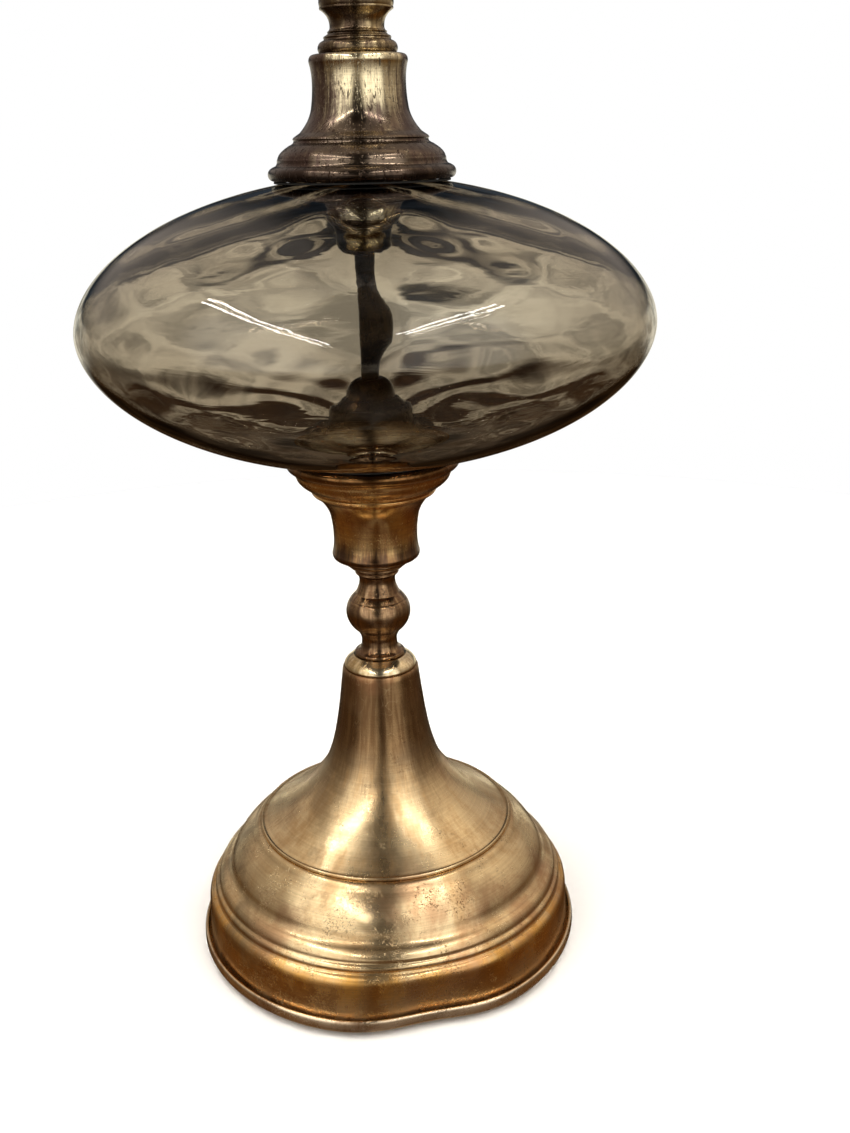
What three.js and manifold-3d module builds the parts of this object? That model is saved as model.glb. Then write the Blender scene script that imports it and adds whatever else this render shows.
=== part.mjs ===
// Table lamp: spun brass base and trumpet, turned spindles and bells, and a smoked glass globe,
// all strung on one threaded pipe, with a lampholder and its turn-knob switch on top.
// Millimetres, +Z up. The felt under the base lies in Z = 0 and the pipe runs along the Z axis.
import * as THREE from 'three';
import { mergeVertices } from 'three/addons/utils/BufferGeometryUtils.js';
import Module from 'manifold-3d';

const manifoldLibrary = await Module();
manifoldLibrary.setup();

// ---- Driving dimensions -------------------------------------------------------------------------

const GAP = 0.3; // clearance between pieces that touch on the real lamp
const SHEET = 1.2; // wall of the spun brass pieces
const FINE = 44; // flats round a large turned piece
const MEDIUM = 30; // flats round a bell
const COARSE = 20; // flats round a small piece

const PIPE_RADIUS = 5;
const PIPE_BORE_RADIUS = 3.6;
const PIPE_BOTTOM_Z = 3.2;
const PIPE_TOP_Z = 574;
const PIPE_HOLE_RADIUS = PIPE_RADIUS + GAP; // hole in each piece that the pipe passes through

const FELT_RADIUS = 107;
const FELT_THICKNESS = 2.4;

const PAN_RADIUS = 115;
const PAN_FLOOR_Z = FELT_THICKNESS + GAP;
const PAN_ROLL_RADIUS = 3.8;
const PAN_LIP_RADIUS = 1;
const PAN_LIP_Z = 7.6; // middle of the rounded lip
const DISH_RADIUS = 17; // raised middle of the pan, which clears the nut under it
const DISH_Z = 9.8;

const WEIGHT_INNER_RADIUS = 27;
const WEIGHT_OUTER_RADIUS = 94;
const WEIGHT_TOP_Z = 13;

const SKIRT_BOTTOM_RADIUS = 111.3;
const SKIRT_TOP_RADIUS = 110.4;
const SKIRT_BOTTOM_Z = PAN_FLOOR_Z + SHEET + GAP;
const SKIRT_TOP_Z = 28.5;
const DECK_Z = 75.8; // flat top of the dome, under the trumpet

const FOOT_RADIUS = 76; // crisp edge of the trumpet's foot
const FOOT_Z = DECK_Z + GAP;
const TRUMPET_TOP_RADIUS = 22.2;
const TRUMPET_TOP_Z = 175.2;

const COLLAR_Z = TRUMPET_TOP_Z + GAP;
const COLLAR_TOP_Z = 182.4;

const BALL_RADIUS = 18.6;
const LOWER_SPINDLE_Z = COLLAR_TOP_Z + GAP;
const LOWER_SPINDLE_TOP_Z = 232.3;
const LOWER_BALL = { z: 209.2, halfHeight: 15.6, blend: 0.74 };

const GLASS_RADIUS = 152.4;
const GLASS_HALF_HEIGHT = 74.8;
const GLASS_EXPONENT = 1.9; // power of the outline |r/R|^n + |z/H|^n = 1
const GLASS_WALL = 3.5; // at the widest ring
const GLASS_END_WALL = 5; // towards the two holes
const GLASS_HOLE_RADIUS = 25;
const GLASS_CENTRE_Z = 374.5;

const BELL_LIP_OFFSET = 72.8; // from the globe's middle plane to a bell's lip
const BELL_HEIGHT = 59.5;
const GASKET_THICKNESS = 1;

const SEAT_HEIGHT = 9; // stepped ring between a bell and its spindle
const UPPER_SPINDLE_HEIGHT = 37.4;
const UPPER_BALL_RISE = 14.4; // from the bottom of the upper spindle to the middle of its ball

const CAP_THICKNESS = 5;
const NUT_HEIGHT = 4.6;
const NUT_ACROSS_FLATS = 14;

const SOCKET_RADIUS = 19.2;
const SOCKET_WALL = 0.8;
const SOCKET_SEAM_Z = 590;
const SOCKET_TOP_Z = 636;
const SCREW_SHELL_RADIUS = 13.9; // E26 lamp thread
const SCREW_SHELL_WALL = 0.7;
const STEM_RADIUS = 1.6;
const STEM_Z = 597;

const CORD_INLET_Z = 20;
const CORD_INLET_RADIUS = 3.5;
const BUSHING_NECK_RADIUS = 4.7;
const BUSHING_FLANGE_RADIUS = 6.6;

// ---- Materials ----------------------------------------------------------------------------------

function metal(color, roughness) {
  return () => new THREE.MeshStandardMaterial({ color, roughness, metalness: 1 });
}

function plain(color, roughness) {
  return () => new THREE.MeshStandardMaterial({ color, roughness, metalness: 0 });
}

const spunBrass = metal(0x9c7f4e, 0.32);
const agedBrass = metal(0x6b4f2c, 0.38);
const darkBrass = metal(0x4f4030, 0.36);
const brightBrass = metal(0xb59555, 0.28);
const platedSteel = metal(0x8f8f8a, 0.4);
const castIron = metal(0x3a3a3c, 0.75);
const greenFelt = plain(0x2f4a38, 0.95);
const blackRubber = plain(0x1b1a19, 0.8);
const blackPlastic = plain(0x14120f, 0.35);
const insulatingPaper = plain(0x8a7350, 0.85);

function smokedGlass() {
  return new THREE.MeshStandardMaterial({
    color: 0x6c655a,
    roughness: 0.06,
    metalness: 0,
    transparent: true,
    opacity: 0.5,
  });
}

// ---- Helpers ------------------------------------------------------------------------------------

const lamp = new THREE.Group();

function addPiece(name, geometry, makeMaterial) {
  const mesh = new THREE.Mesh(geometry, makeMaterial());
  mesh.name = name;
  lamp.add(mesh);
  return mesh;
}

/** Turns a closed outline, drawn counter-clockwise in the (r, z) half plane, about the Z axis. */
function turned(outline, segments) {
  const closed = [...outline, outline[0].clone()];
  return new THREE.LatheGeometry(closed, segments).rotateX(Math.PI / 2);
}

/** A plain ring or tube of rectangular section. */
function ring(innerRadius, outerRadius, bottomZ, topZ, segments) {
  const outline = [
    new THREE.Vector2(innerRadius, bottomZ),
    new THREE.Vector2(outerRadius, bottomZ),
    new THREE.Vector2(outerRadius, topZ),
    new THREE.Vector2(innerRadius, topZ),
  ];
  return turned(outline, segments);
}

/** Points of a path without repeats, each of its curves in the given number of steps. */
function trace(path, steps) {
  const points = path.getPoints(steps);
  return points.filter((point, i) => i === 0 || point.distanceTo(points[i - 1]) > 1e-4);
}

/** Closes an outer face into a sheet by coming back along a parallel line on its inner side. */
function sheet(outerFace, wall) {
  const innerFace = outerFace.map((point, i) => {
    const before = outerFace[Math.max(i - 1, 0)];
    const after = outerFace[Math.min(i + 1, outerFace.length - 1)];
    const into = point.clone().sub(before).normalize();
    const onward = after.clone().sub(point).normalize();
    const along = into.clone().add(onward).normalize();
    const straight = i === 0 ? onward : into;
    const mitre = wall / Math.max(along.dot(straight), 0.5);
    return new THREE.Vector2(point.x - along.y * mitre, point.y + along.x * mitre);
  });
  return [...outerFace, ...innerFace.reverse()];
}

/** Mirrors an outline in the plane z = planeZ and keeps it counter-clockwise. */
function mirrored(outline, planeZ) {
  return outline.map((point) => new THREE.Vector2(point.x, 2 * planeZ - point.y)).reverse();
}

function lifted(outline, z) {
  return outline.map((point) => new THREE.Vector2(point.x, point.y + z));
}

/** A hexagonal nut round the Z axis, standing on bottomZ. */
function hexNut(acrossFlats, height, bottomZ) {
  const corner = acrossFlats / Math.sqrt(3);
  const corners = [];
  for (let i = 0; i < 6; i += 1) {
    const angle = (i * Math.PI) / 3;
    corners.push(new THREE.Vector2(corner * Math.cos(angle), corner * Math.sin(angle)));
  }
  const outline = new THREE.Shape(corners);
  outline.holes.push(new THREE.Path().absarc(0, 0, PIPE_HOLE_RADIUS, 0, 2 * Math.PI, true));
  const settings = { depth: height, bevelEnabled: false, curveSegments: 12 };
  return new THREE.ExtrudeGeometry(outline, settings).translate(0, 0, bottomZ);
}

function toManifold(geometry) {
  const bare = geometry.clone();
  bare.deleteAttribute('normal');
  bare.deleteAttribute('uv');
  const welded = mergeVertices(bare, 1e-4);
  return new manifoldLibrary.Manifold(
    new manifoldLibrary.Mesh({
      numProp: 3,
      vertProperties: new Float32Array(welded.attributes.position.array),
      triVerts: new Uint32Array(welded.index.array),
    }),
  );
}

function fromManifold(solid) {
  const mesh = solid.getMesh();
  const geometry = new THREE.BufferGeometry();
  geometry.setAttribute('position', new THREE.BufferAttribute(mesh.vertProperties, 3));
  geometry.setIndex(new THREE.BufferAttribute(mesh.triVerts, 1));
  geometry.computeVertexNormals();
  return geometry;
}

/** Cuts the tools out of a geometry. */
function cut(geometry, ...tools) {
  let solid = toManifold(geometry);
  for (const tool of tools) {
    solid = solid.subtract(toManifold(tool));
  }
  return fromManifold(solid);
}

/** Joins overlapping geometries into one solid. */
function joined(first, ...others) {
  let solid = toManifold(first);
  for (const other of others) {
    solid = solid.add(toManifold(other));
  }
  return fromManifold(solid);
}

/** A cylinder along X from startX to endX, at the given y and z. */
function rodAlongX(radius, startX, endX, y, z, segments = COARSE) {
  const rod = new THREE.CylinderGeometry(radius, radius, endX - startX, segments);
  return rod.rotateZ(-Math.PI / 2).translate((startX + endX) / 2, y, z);
}

// ---- Base ---------------------------------------------------------------------------------------

function buildBase() {
  addPiece('felt_pad', ring(0, FELT_RADIUS, 0, FELT_THICKNESS, FINE), greenFelt);
  addPiece('base_pan', panGeometry(), agedBrass);
  addPiece('base_weight', weightGeometry(), castIron);
  addPiece('base_dome', domeGeometry(), spunBrass);
  addPiece('base_trumpet', turned(sheet(trumpetFace(), SHEET), FINE), spunBrass);
  addPiece('cord_bushing', bushingGeometry(), blackPlastic);

  const washerZ = DISH_Z - GAP - SHEET;
  addPiece('lock_washer', ring(PIPE_HOLE_RADIUS, 9, washerZ, DISH_Z - GAP, COARSE), platedSteel);
  addPiece('base_nut', hexNut(NUT_ACROSS_FLATS, NUT_HEIGHT, washerZ - GAP - NUT_HEIGHT), platedSteel);
}

/** Shallow pan with a rolled rim that stands round the skirt and a raised dish in the middle. */
function panGeometry() {
  const rollCentre = PAN_RADIUS - PAN_ROLL_RADIUS;
  const wallInner = PAN_RADIUS - 2 * PAN_LIP_RADIUS;
  const floorTopZ = PAN_FLOOR_Z + SHEET;
  const path = new THREE.Path();
  path.moveTo(PIPE_HOLE_RADIUS, DISH_Z);
  path.lineTo(DISH_RADIUS, DISH_Z);
  path.lineTo(DISH_RADIUS + 4, PAN_FLOOR_Z);
  path.lineTo(rollCentre, PAN_FLOOR_Z);
  path.absarc(rollCentre, PAN_FLOOR_Z + PAN_ROLL_RADIUS, PAN_ROLL_RADIUS, -Math.PI / 2, 0, false);
  path.absarc(PAN_RADIUS - PAN_LIP_RADIUS, PAN_LIP_Z, PAN_LIP_RADIUS, 0, Math.PI, false);
  path.lineTo(wallInner, floorTopZ + 1.4);
  path.lineTo(wallInner - 1.4, floorTopZ);
  path.lineTo(DISH_RADIUS + 5, floorTopZ);
  path.lineTo(DISH_RADIUS + 1, DISH_Z + SHEET);
  path.lineTo(PIPE_HOLE_RADIUS, DISH_Z + SHEET);
  const pan = turned(trace(path, 3), FINE);
  const cordHole = new THREE.CylinderGeometry(CORD_INLET_RADIUS, CORD_INLET_RADIUS, 12, 12);
  cordHole.rotateX(Math.PI / 2).translate(0, DISH_RADIUS - 4.7, DISH_Z);
  return cut(pan, cordHole);
}

function weightGeometry() {
  const bottomZ = PAN_FLOOR_Z + SHEET + GAP;
  const chamfer = 2.5;
  const outline = [
    new THREE.Vector2(WEIGHT_INNER_RADIUS, bottomZ),
    new THREE.Vector2(WEIGHT_OUTER_RADIUS, bottomZ),
    new THREE.Vector2(WEIGHT_OUTER_RADIUS, WEIGHT_TOP_Z - chamfer),
    new THREE.Vector2(WEIGHT_OUTER_RADIUS - chamfer, WEIGHT_TOP_Z),
    new THREE.Vector2(WEIGHT_INNER_RADIUS + chamfer, WEIGHT_TOP_Z),
    new THREE.Vector2(WEIGHT_INNER_RADIUS, WEIGHT_TOP_Z - chamfer),
  ];
  return turned(outline, FINE);
}

/** Spun dome: straight skirt, round shoulder, a fine ridge, a bead, a cove, then the dome itself. */
function domeGeometry() {
  const face = new THREE.Path();
  face.moveTo(SKIRT_BOTTOM_RADIUS, SKIRT_BOTTOM_Z);
  face.lineTo(SKIRT_TOP_RADIUS, SKIRT_TOP_Z);
  face.bezierCurveTo(110.2, 33, 107.6, 36.6, 104.8, 39.6);
  face.lineTo(104.3, 41.6);
  face.bezierCurveTo(103.4, 44.6, 101.8, 46.6, 98.8, 48.4);
  face.bezierCurveTo(95.8, 50.2, 95.4, 52.6, 94.6, 55.6);
  face.bezierCurveTo(92, 61, 85.6, 67.8, 80.2, 72.8);
  face.quadraticCurveTo(77.4, DECK_Z, 74, DECK_Z);
  face.lineTo(PIPE_HOLE_RADIUS, DECK_Z);
  const dome = turned(sheet(trace(face, 3), SHEET), FINE);
  const holeRadius = BUSHING_NECK_RADIUS + GAP;
  const cordHole = new THREE.CylinderGeometry(holeRadius, holeRadius, 20, COARSE);
  cordHole.translate(0, SKIRT_TOP_RADIUS, CORD_INLET_Z);
  return cut(dome, cordHole);
}

/** Outer face of the trumpet from its foot to the turned-in top. */
function trumpetFace() {
  const face = new THREE.Path();
  face.moveTo(FOOT_RADIUS - 0.4, FOOT_Z);
  face.lineTo(FOOT_RADIUS, FOOT_Z + 0.9);
  face.bezierCurveTo(61, 85.5, 44.2, 97, 34.4, 114);
  face.bezierCurveTo(27.4, 129.5, 25.2, 150, TRUMPET_TOP_RADIUS, TRUMPET_TOP_Z - 1);
  face.lineTo(TRUMPET_TOP_RADIUS - 0.8, TRUMPET_TOP_Z);
  face.lineTo(PIPE_HOLE_RADIUS, TRUMPET_TOP_Z);
  return trace(face, 5);
}

/** Snap-in bushing in the back of the skirt: a flange on each side of the wall and a bore. */
function bushingGeometry() {
  const wallY = SKIRT_TOP_RADIUS + 0.1;
  const outline = [
    new THREE.Vector2(CORD_INLET_RADIUS, -2.2 - SHEET),
    new THREE.Vector2(BUSHING_FLANGE_RADIUS, -2.2 - SHEET),
    new THREE.Vector2(BUSHING_FLANGE_RADIUS, -0.6 - SHEET),
    new THREE.Vector2(BUSHING_NECK_RADIUS, -0.6 - SHEET),
    new THREE.Vector2(BUSHING_NECK_RADIUS, 0.8),
    new THREE.Vector2(BUSHING_FLANGE_RADIUS, 0.8),
    new THREE.Vector2(BUSHING_FLANGE_RADIUS - 0.8, 2.6),
    new THREE.Vector2(CORD_INLET_RADIUS, 2.6),
  ];
  const bushing = turned(outline, COARSE);
  return bushing.rotateX(-Math.PI / 2).translate(0, wallY, CORD_INLET_Z);
}

// ---- Turned column ------------------------------------------------------------------------------

/**
 * Spindle outline: a foot, a neck, a flattened ball, a neck and a top ring. The ball is an ellipse
 * that stays round for the blend part of its half height, and runs into the necks beyond that.
 */
function spindleOutline(bottomZ, topZ, footRadius, neckRadius, ball) {
  const path = new THREE.Path();
  const blendAngle = Math.asin(ball.blend);
  const blendRadius = BALL_RADIUS * Math.cos(blendAngle);
  const blendRise = ball.halfHeight * ball.blend;
  path.moveTo(PIPE_HOLE_RADIUS, bottomZ);
  path.lineTo(footRadius - 0.4, bottomZ);
  path.lineTo(footRadius, bottomZ + 1.2);
  path.quadraticCurveTo(neckRadius + 0.4, bottomZ + 2, neckRadius, (bottomZ + ball.z - blendRise) / 2);
  path.quadraticCurveTo(neckRadius + 0.2, ball.z - blendRise - 1.5, blendRadius, ball.z - blendRise);
  path.absellipse(0, ball.z, BALL_RADIUS, ball.halfHeight, -blendAngle, blendAngle, false, 0);
  path.quadraticCurveTo(neckRadius + 0.2, ball.z + blendRise + 1.5, neckRadius, topZ - 6);
  path.quadraticCurveTo(neckRadius + 0.3, topZ - 3, neckRadius + 2.1, topZ - 1.6);
  path.lineTo(neckRadius + 2.1, topZ);
  path.lineTo(PIPE_HOLE_RADIUS, topZ);
  return trace(path, 4);
}

/** Bell from its lip at z = 0: bead, ovolo, groove, ledge, flare and shoulder; hollow from the lip. */
function bellOutline() {
  const path = new THREE.Path();
  path.moveTo(42.6, 0);
  path.lineTo(46.2, 0);
  path.bezierCurveTo(48.8, 0.6, 49.4, 4.8, 45.6, 6.9);
  path.lineTo(43.3, 9.6);
  path.bezierCurveTo(43.1, 12.8, 39.8, 15.2, 36.2, 17.3);
  path.lineTo(34.7, 18.8);
  path.lineTo(34.2, 20.9);
  path.lineTo(31.2, 22.9);
  path.bezierCurveTo(27, 27.8, 23.8, 34, 23.7, 46);
  path.lineTo(24.7, 54.4);
  path.quadraticCurveTo(25.2, 58.6, 22, BELL_HEIGHT);
  path.lineTo(PIPE_HOLE_RADIUS, BELL_HEIGHT);
  path.lineTo(PIPE_HOLE_RADIUS, BELL_HEIGHT - 6);
  path.lineTo(19, BELL_HEIGHT - 6);
  path.lineTo(20.4, 41);
  path.quadraticCurveTo(22.5, 25, 36, 12);
  path.lineTo(42.6, 5);
  return trace(path, 4);
}

/** Stepped seat ring from its wide side, against the bell, at z = 0 to its narrow side. */
function seatOutline() {
  const path = new THREE.Path();
  path.moveTo(PIPE_HOLE_RADIUS, 0);
  path.lineTo(19.2, 0);
  path.quadraticCurveTo(20.4, 3.4, 17.1, 4.6);
  path.lineTo(16.3, 6.6);
  path.lineTo(14, SEAT_HEIGHT);
  path.lineTo(PIPE_HOLE_RADIUS, SEAT_HEIGHT);
  return trace(path, 4);
}

/** Height of the globe's outline above its middle plane at radius r. */
function globeRise(r, radius, halfHeight) {
  return halfHeight * (1 - (r / radius) ** GLASS_EXPONENT) ** (1 / GLASS_EXPONENT);
}

/** Outline points of the globe, or of its inner face, from the lower hole up to the upper hole. */
function globeFace(radius, halfHeight, holeRadius, steps) {
  const points = [];
  const holeAngle = Math.acos((holeRadius / radius) ** (GLASS_EXPONENT / 2));
  for (let i = 0; i <= steps; i += 1) {
    const angle = holeAngle * ((2 * i) / steps - 1);
    const r = radius * Math.cos(angle) ** (2 / GLASS_EXPONENT);
    points.push(new THREE.Vector2(r, GLASS_CENTRE_Z + Math.sign(angle) * globeRise(r, radius, halfHeight)));
  }
  return points;
}

function glassGeometry() {
  const outer = globeFace(GLASS_RADIUS, GLASS_HALF_HEIGHT, GLASS_HOLE_RADIUS, 20);
  const innerRadius = GLASS_RADIUS - GLASS_WALL;
  const innerHalfHeight = GLASS_HALF_HEIGHT - GLASS_END_WALL;
  const inner = globeFace(innerRadius, innerHalfHeight, GLASS_HOLE_RADIUS, 12);
  return turned([...outer, ...inner.reverse()], FINE);
}

function buildColumn() {
  const lowerLipZ = GLASS_CENTRE_Z - BELL_LIP_OFFSET;
  const upperLipZ = GLASS_CENTRE_Z + BELL_LIP_OFFSET;
  const upperSeatZ = upperLipZ + BELL_HEIGHT + GAP;
  const upperSpindleZ = upperSeatZ + SEAT_HEIGHT + GAP;
  const upperSpindleTopZ = upperSpindleZ + UPPER_SPINDLE_HEIGHT;
  const gasketRise = BELL_LIP_OFFSET - GAP - GASKET_THICKNESS;
  const upperBell = lifted(bellOutline(), upperLipZ);
  const upperSeat = lifted(seatOutline(), upperSeatZ);

  const collar = new THREE.Path();
  collar.moveTo(PIPE_HOLE_RADIUS, COLLAR_Z);
  collar.lineTo(TRUMPET_TOP_RADIUS - 1, COLLAR_Z);
  collar.bezierCurveTo(20.2, COLLAR_Z + 1.6, 17.8, COLLAR_TOP_Z - 2.4, 15.2, COLLAR_TOP_Z);
  collar.lineTo(PIPE_HOLE_RADIUS, COLLAR_TOP_Z);
  addPiece('trumpet_collar', turned(trace(collar, 5), MEDIUM), brightBrass);

  const lowerSpindle = spindleOutline(LOWER_SPINDLE_Z, LOWER_SPINDLE_TOP_Z, 14.6, 10.2, LOWER_BALL);
  addPiece('lower_spindle', turned(lowerSpindle, COARSE), agedBrass);
  addPiece('lower_seat_ring', turned(mirrored(upperSeat, GLASS_CENTRE_Z), COARSE), agedBrass);
  addPiece('lower_bell', turned(mirrored(upperBell, GLASS_CENTRE_Z), MEDIUM), agedBrass);

  const lowerGasketZ = GLASS_CENTRE_Z - gasketRise - GASKET_THICKNESS;
  const lowerGasket = ring(42.8, 45.6, lowerGasketZ, lowerGasketZ + GASKET_THICKNESS, MEDIUM);
  addPiece('lower_gasket', lowerGasket, blackRubber);
  addPiece('glass_globe', glassGeometry(), smokedGlass);

  const upperGasketZ = GLASS_CENTRE_Z + gasketRise;
  const upperGasket = ring(42.8, 45.6, upperGasketZ, upperGasketZ + GASKET_THICKNESS, MEDIUM);
  addPiece('upper_gasket', upperGasket, blackRubber);
  addPiece('upper_bell', turned(upperBell, MEDIUM), darkBrass);
  addPiece('upper_seat_ring', turned(upperSeat, COARSE), darkBrass);

  const upperBall = { z: upperSpindleZ + UPPER_BALL_RISE, halfHeight: 12, blend: 0.62 };
  const upperSpindle = spindleOutline(upperSpindleZ, upperSpindleTopZ, 14.6, 13.2, upperBall);
  addPiece('upper_spindle', turned(upperSpindle, COARSE), darkBrass);
  return upperSpindleTopZ;
}

/** Locating pieces on the pipe inside the globe. */
function buildInnerStacks() {
  const lowerCup = new THREE.Path();
  lowerCup.moveTo(23.6, 304.5);
  lowerCup.lineTo(23.6, 321);
  lowerCup.quadraticCurveTo(23.6, 324, 20.6, 324.6);
  lowerCup.lineTo(16, 330);
  lowerCup.lineTo(PIPE_HOLE_RADIUS, 330);
  addPiece('lower_inner_cup', turned(sheet(trace(lowerCup, 3), SHEET), COARSE), agedBrass);

  const lowerCap = new THREE.Path();
  lowerCap.moveTo(PIPE_HOLE_RADIUS, 330.3);
  lowerCap.lineTo(13.5, 330.3);
  lowerCap.bezierCurveTo(13.5, 336, 11, 339.6, 7.5, 341.5);
  lowerCap.lineTo(PIPE_HOLE_RADIUS, 341.5);
  addPiece('lower_inner_cap', turned(trace(lowerCap, 5), COARSE), agedBrass);

  const upperCup = new THREE.Path();
  upperCup.moveTo(PIPE_HOLE_RADIUS, 411);
  upperCup.lineTo(9, 411);
  upperCup.bezierCurveTo(13, 413, 16.4, 417, 16.4, 422);
  upperCup.lineTo(16.4, 428.7);
  upperCup.lineTo(PIPE_HOLE_RADIUS, 428.7);
  addPiece('upper_inner_cup', turned(trace(upperCup, 5), COARSE), darkBrass);
  addPiece('upper_inner_washer', ring(PIPE_HOLE_RADIUS, 18.7, 429, 431.9, COARSE), darkBrass);
  addPiece('upper_inner_spacer', ring(PIPE_HOLE_RADIUS, 13.3, 432.2, 436.3, COARSE), darkBrass);
  addPiece('upper_inner_disc', ring(PIPE_HOLE_RADIUS, 20.5, 436.6, 441.4, COARSE), brightBrass);
}

// ---- Lampholder ---------------------------------------------------------------------------------

function buildLampholder(columnTopZ) {
  const capZ = columnTopZ + GAP;
  const cap = new THREE.Path();
  cap.moveTo(PIPE_HOLE_RADIUS, capZ);
  cap.lineTo(16, capZ);
  cap.quadraticCurveTo(16, capZ + CAP_THICKNESS, 10, capZ + CAP_THICKNESS);
  cap.lineTo(PIPE_HOLE_RADIUS, capZ + CAP_THICKNESS);
  addPiece('top_cap', turned(trace(cap, 5), COARSE), darkBrass);

  const nutZ = capZ + CAP_THICKNESS + GAP;
  addPiece('top_nut', hexNut(NUT_ACROSS_FLATS, NUT_HEIGHT, nutZ), brightBrass);

  const hubZ = nutZ + NUT_HEIGHT + GAP;
  const hubTopZ = hubZ + 6.5;
  addPiece('socket_cap', socketCapGeometry(hubZ, hubTopZ), brightBrass);
  const setScrew = rodAlongX(1.5, -10, -PIPE_RADIUS - GAP, 0, (hubZ + hubTopZ) / 2, 12);
  addPiece('socket_set_screw', setScrew, platedSteel);
  addPiece('socket_body', socketBodyGeometry(), blackPlastic);

  const linerOutline = ring(17.2, 17.9, SOCKET_SEAM_Z + 1, SOCKET_TOP_Z - 1.5, MEDIUM);
  const stemHole = rodAlongX(STEM_RADIUS + 0.8, 10, 30, 0, STEM_Z);
  addPiece('socket_liner', cut(linerOutline, stemHole), insulatingPaper);
  addPiece('socket_shell', cut(turned(socketShellOutline(), MEDIUM), stemHole), brightBrass);

  const shellInner = SCREW_SHELL_RADIUS - SCREW_SHELL_WALL;
  addPiece('screw_shell', ring(shellInner, SCREW_SHELL_RADIUS, 605.3, 631, MEDIUM), platedSteel);
  addPiece('centre_contact', contactGeometry(), brightBrass);
  for (const [name, side] of [['terminal_screw_left', -1], ['terminal_screw_right', 1]]) {
    addPiece(name, terminalScrewGeometry(side), brightBrass);
  }
  addPiece('switch_stem', rodAlongX(STEM_RADIUS, 8.6, 25, 0, STEM_Z, 12), brightBrass);
  addPiece('switch_knob', knobGeometry(), blackPlastic);
}

/** Lower half of the lampholder: a threaded hub that opens into a shallow cup. */
function socketCapGeometry(hubZ, hubTopZ) {
  const cupRadius = SOCKET_RADIUS + 1;
  const path = new THREE.Path();
  path.moveTo(PIPE_HOLE_RADIUS, hubZ);
  path.lineTo(8, hubZ);
  path.lineTo(8.4, hubTopZ);
  path.bezierCurveTo(14, hubTopZ + 1, cupRadius - 1, hubTopZ + 5, cupRadius, SOCKET_SEAM_Z - 5);
  path.lineTo(cupRadius, SOCKET_SEAM_Z + 2.4);
  path.lineTo(cupRadius - 0.7, SOCKET_SEAM_Z + 2.4);
  path.lineTo(cupRadius - 0.7, SOCKET_SEAM_Z - 4.8);
  path.bezierCurveTo(cupRadius - 2, hubTopZ + 6.2, 13, hubTopZ + 2, 8, hubTopZ + 1.4);
  path.lineTo(PIPE_HOLE_RADIUS, hubTopZ + 1.4);
  const screwHole = rodAlongX(1.5 + GAP, -12, 0, 0, (hubZ + hubTopZ) / 2, 12);
  return cut(turned(trace(path, 5), MEDIUM), screwHole);
}

/** Moulded switch body: a round block with two flats for the terminals and a bore for the stem. */
function socketBodyGeometry() {
  const block = ring(0, 16.6, SOCKET_SEAM_Z - 4, 605, MEDIUM);
  const flats = [-1, 1].map((side) => {
    const flat = new THREE.BoxGeometry(40, 6, 15);
    return flat.translate(0, side * 15.4, SOCKET_SEAM_Z + 3.5);
  });
  const holes = [-1, 1].map((side) => {
    const hole = new THREE.CylinderGeometry(1.6 + GAP, 1.6 + GAP, 8, 12);
    return hole.translate(0, side * 12, SOCKET_SEAM_Z + 3.5);
  });
  const bore = rodAlongX(STEM_RADIUS + GAP, 8, 20, 0, STEM_Z);
  return cut(block, ...flats, ...holes, bore);
}

/** Brass shell of the lampholder, with a rolled bead at its mouth. */
function socketShellOutline() {
  const inner = SOCKET_RADIUS - SOCKET_WALL;
  const path = new THREE.Path();
  path.moveTo(inner, SOCKET_SEAM_Z);
  path.lineTo(SOCKET_RADIUS, SOCKET_SEAM_Z);
  path.lineTo(SOCKET_RADIUS, SOCKET_TOP_Z - 3);
  path.absarc(SOCKET_RADIUS, SOCKET_TOP_Z - 1.5, 1.5, -Math.PI / 2, Math.PI / 2, false);
  path.lineTo(inner, SOCKET_TOP_Z);
  return trace(path, 4);
}

/** Spring tongue that the bulb's tip presses on. */
function contactGeometry() {
  const side = new THREE.Shape();
  side.moveTo(-5, 605.3);
  side.lineTo(1.5, 605.3);
  side.lineTo(1.5, 606);
  side.lineTo(-3.4, 606);
  side.lineTo(4.5, 608.6);
  side.lineTo(4.2, 609.3);
  side.lineTo(-5, 606.2);
  side.closePath();
  const tongue = new THREE.ExtrudeGeometry(side, { depth: 5, bevelEnabled: false });
  return tongue.rotateX(Math.PI / 2).translate(0, 2.5, 0);
}

function terminalScrewGeometry(side) {
  const outline = [
    new THREE.Vector2(0, 0),
    new THREE.Vector2(1.6, 0),
    new THREE.Vector2(1.6, 3.4),
    new THREE.Vector2(3.6, 3.4),
    new THREE.Vector2(3.4, 5.2),
    new THREE.Vector2(0, 5.4),
  ];
  const screw = turned(outline, 12);
  return screw.rotateX((-side * Math.PI) / 2).translate(0, side * 9.3, SOCKET_SEAM_Z + 3.5);
}

/** Knob with a round collar and two finger wings, bored for the stem. */
function knobGeometry() {
  const collar = rodAlongX(4.2, 21.6, 26.5, 0, STEM_Z);
  const wings = new THREE.Shape();
  wings.moveTo(25.5, -3);
  wings.bezierCurveTo(28, -8.6, 36, -8.6, 37.5, -5.4);
  wings.quadraticCurveTo(36, 0, 37.5, 5.4);
  wings.bezierCurveTo(36, 8.6, 28, 8.6, 25.5, 3);
  wings.closePath();
  const blade = new THREE.ExtrudeGeometry(wings, { depth: 4, bevelEnabled: false, curveSegments: 6 });
  blade.rotateX(Math.PI / 2).translate(0, 2, STEM_Z);
  const bore = rodAlongX(STEM_RADIUS + GAP, 20, 25.3, 0, STEM_Z, 12);
  return cut(joined(collar, blade), bore);
}

// ---- Assembly -----------------------------------------------------------------------------------

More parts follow.
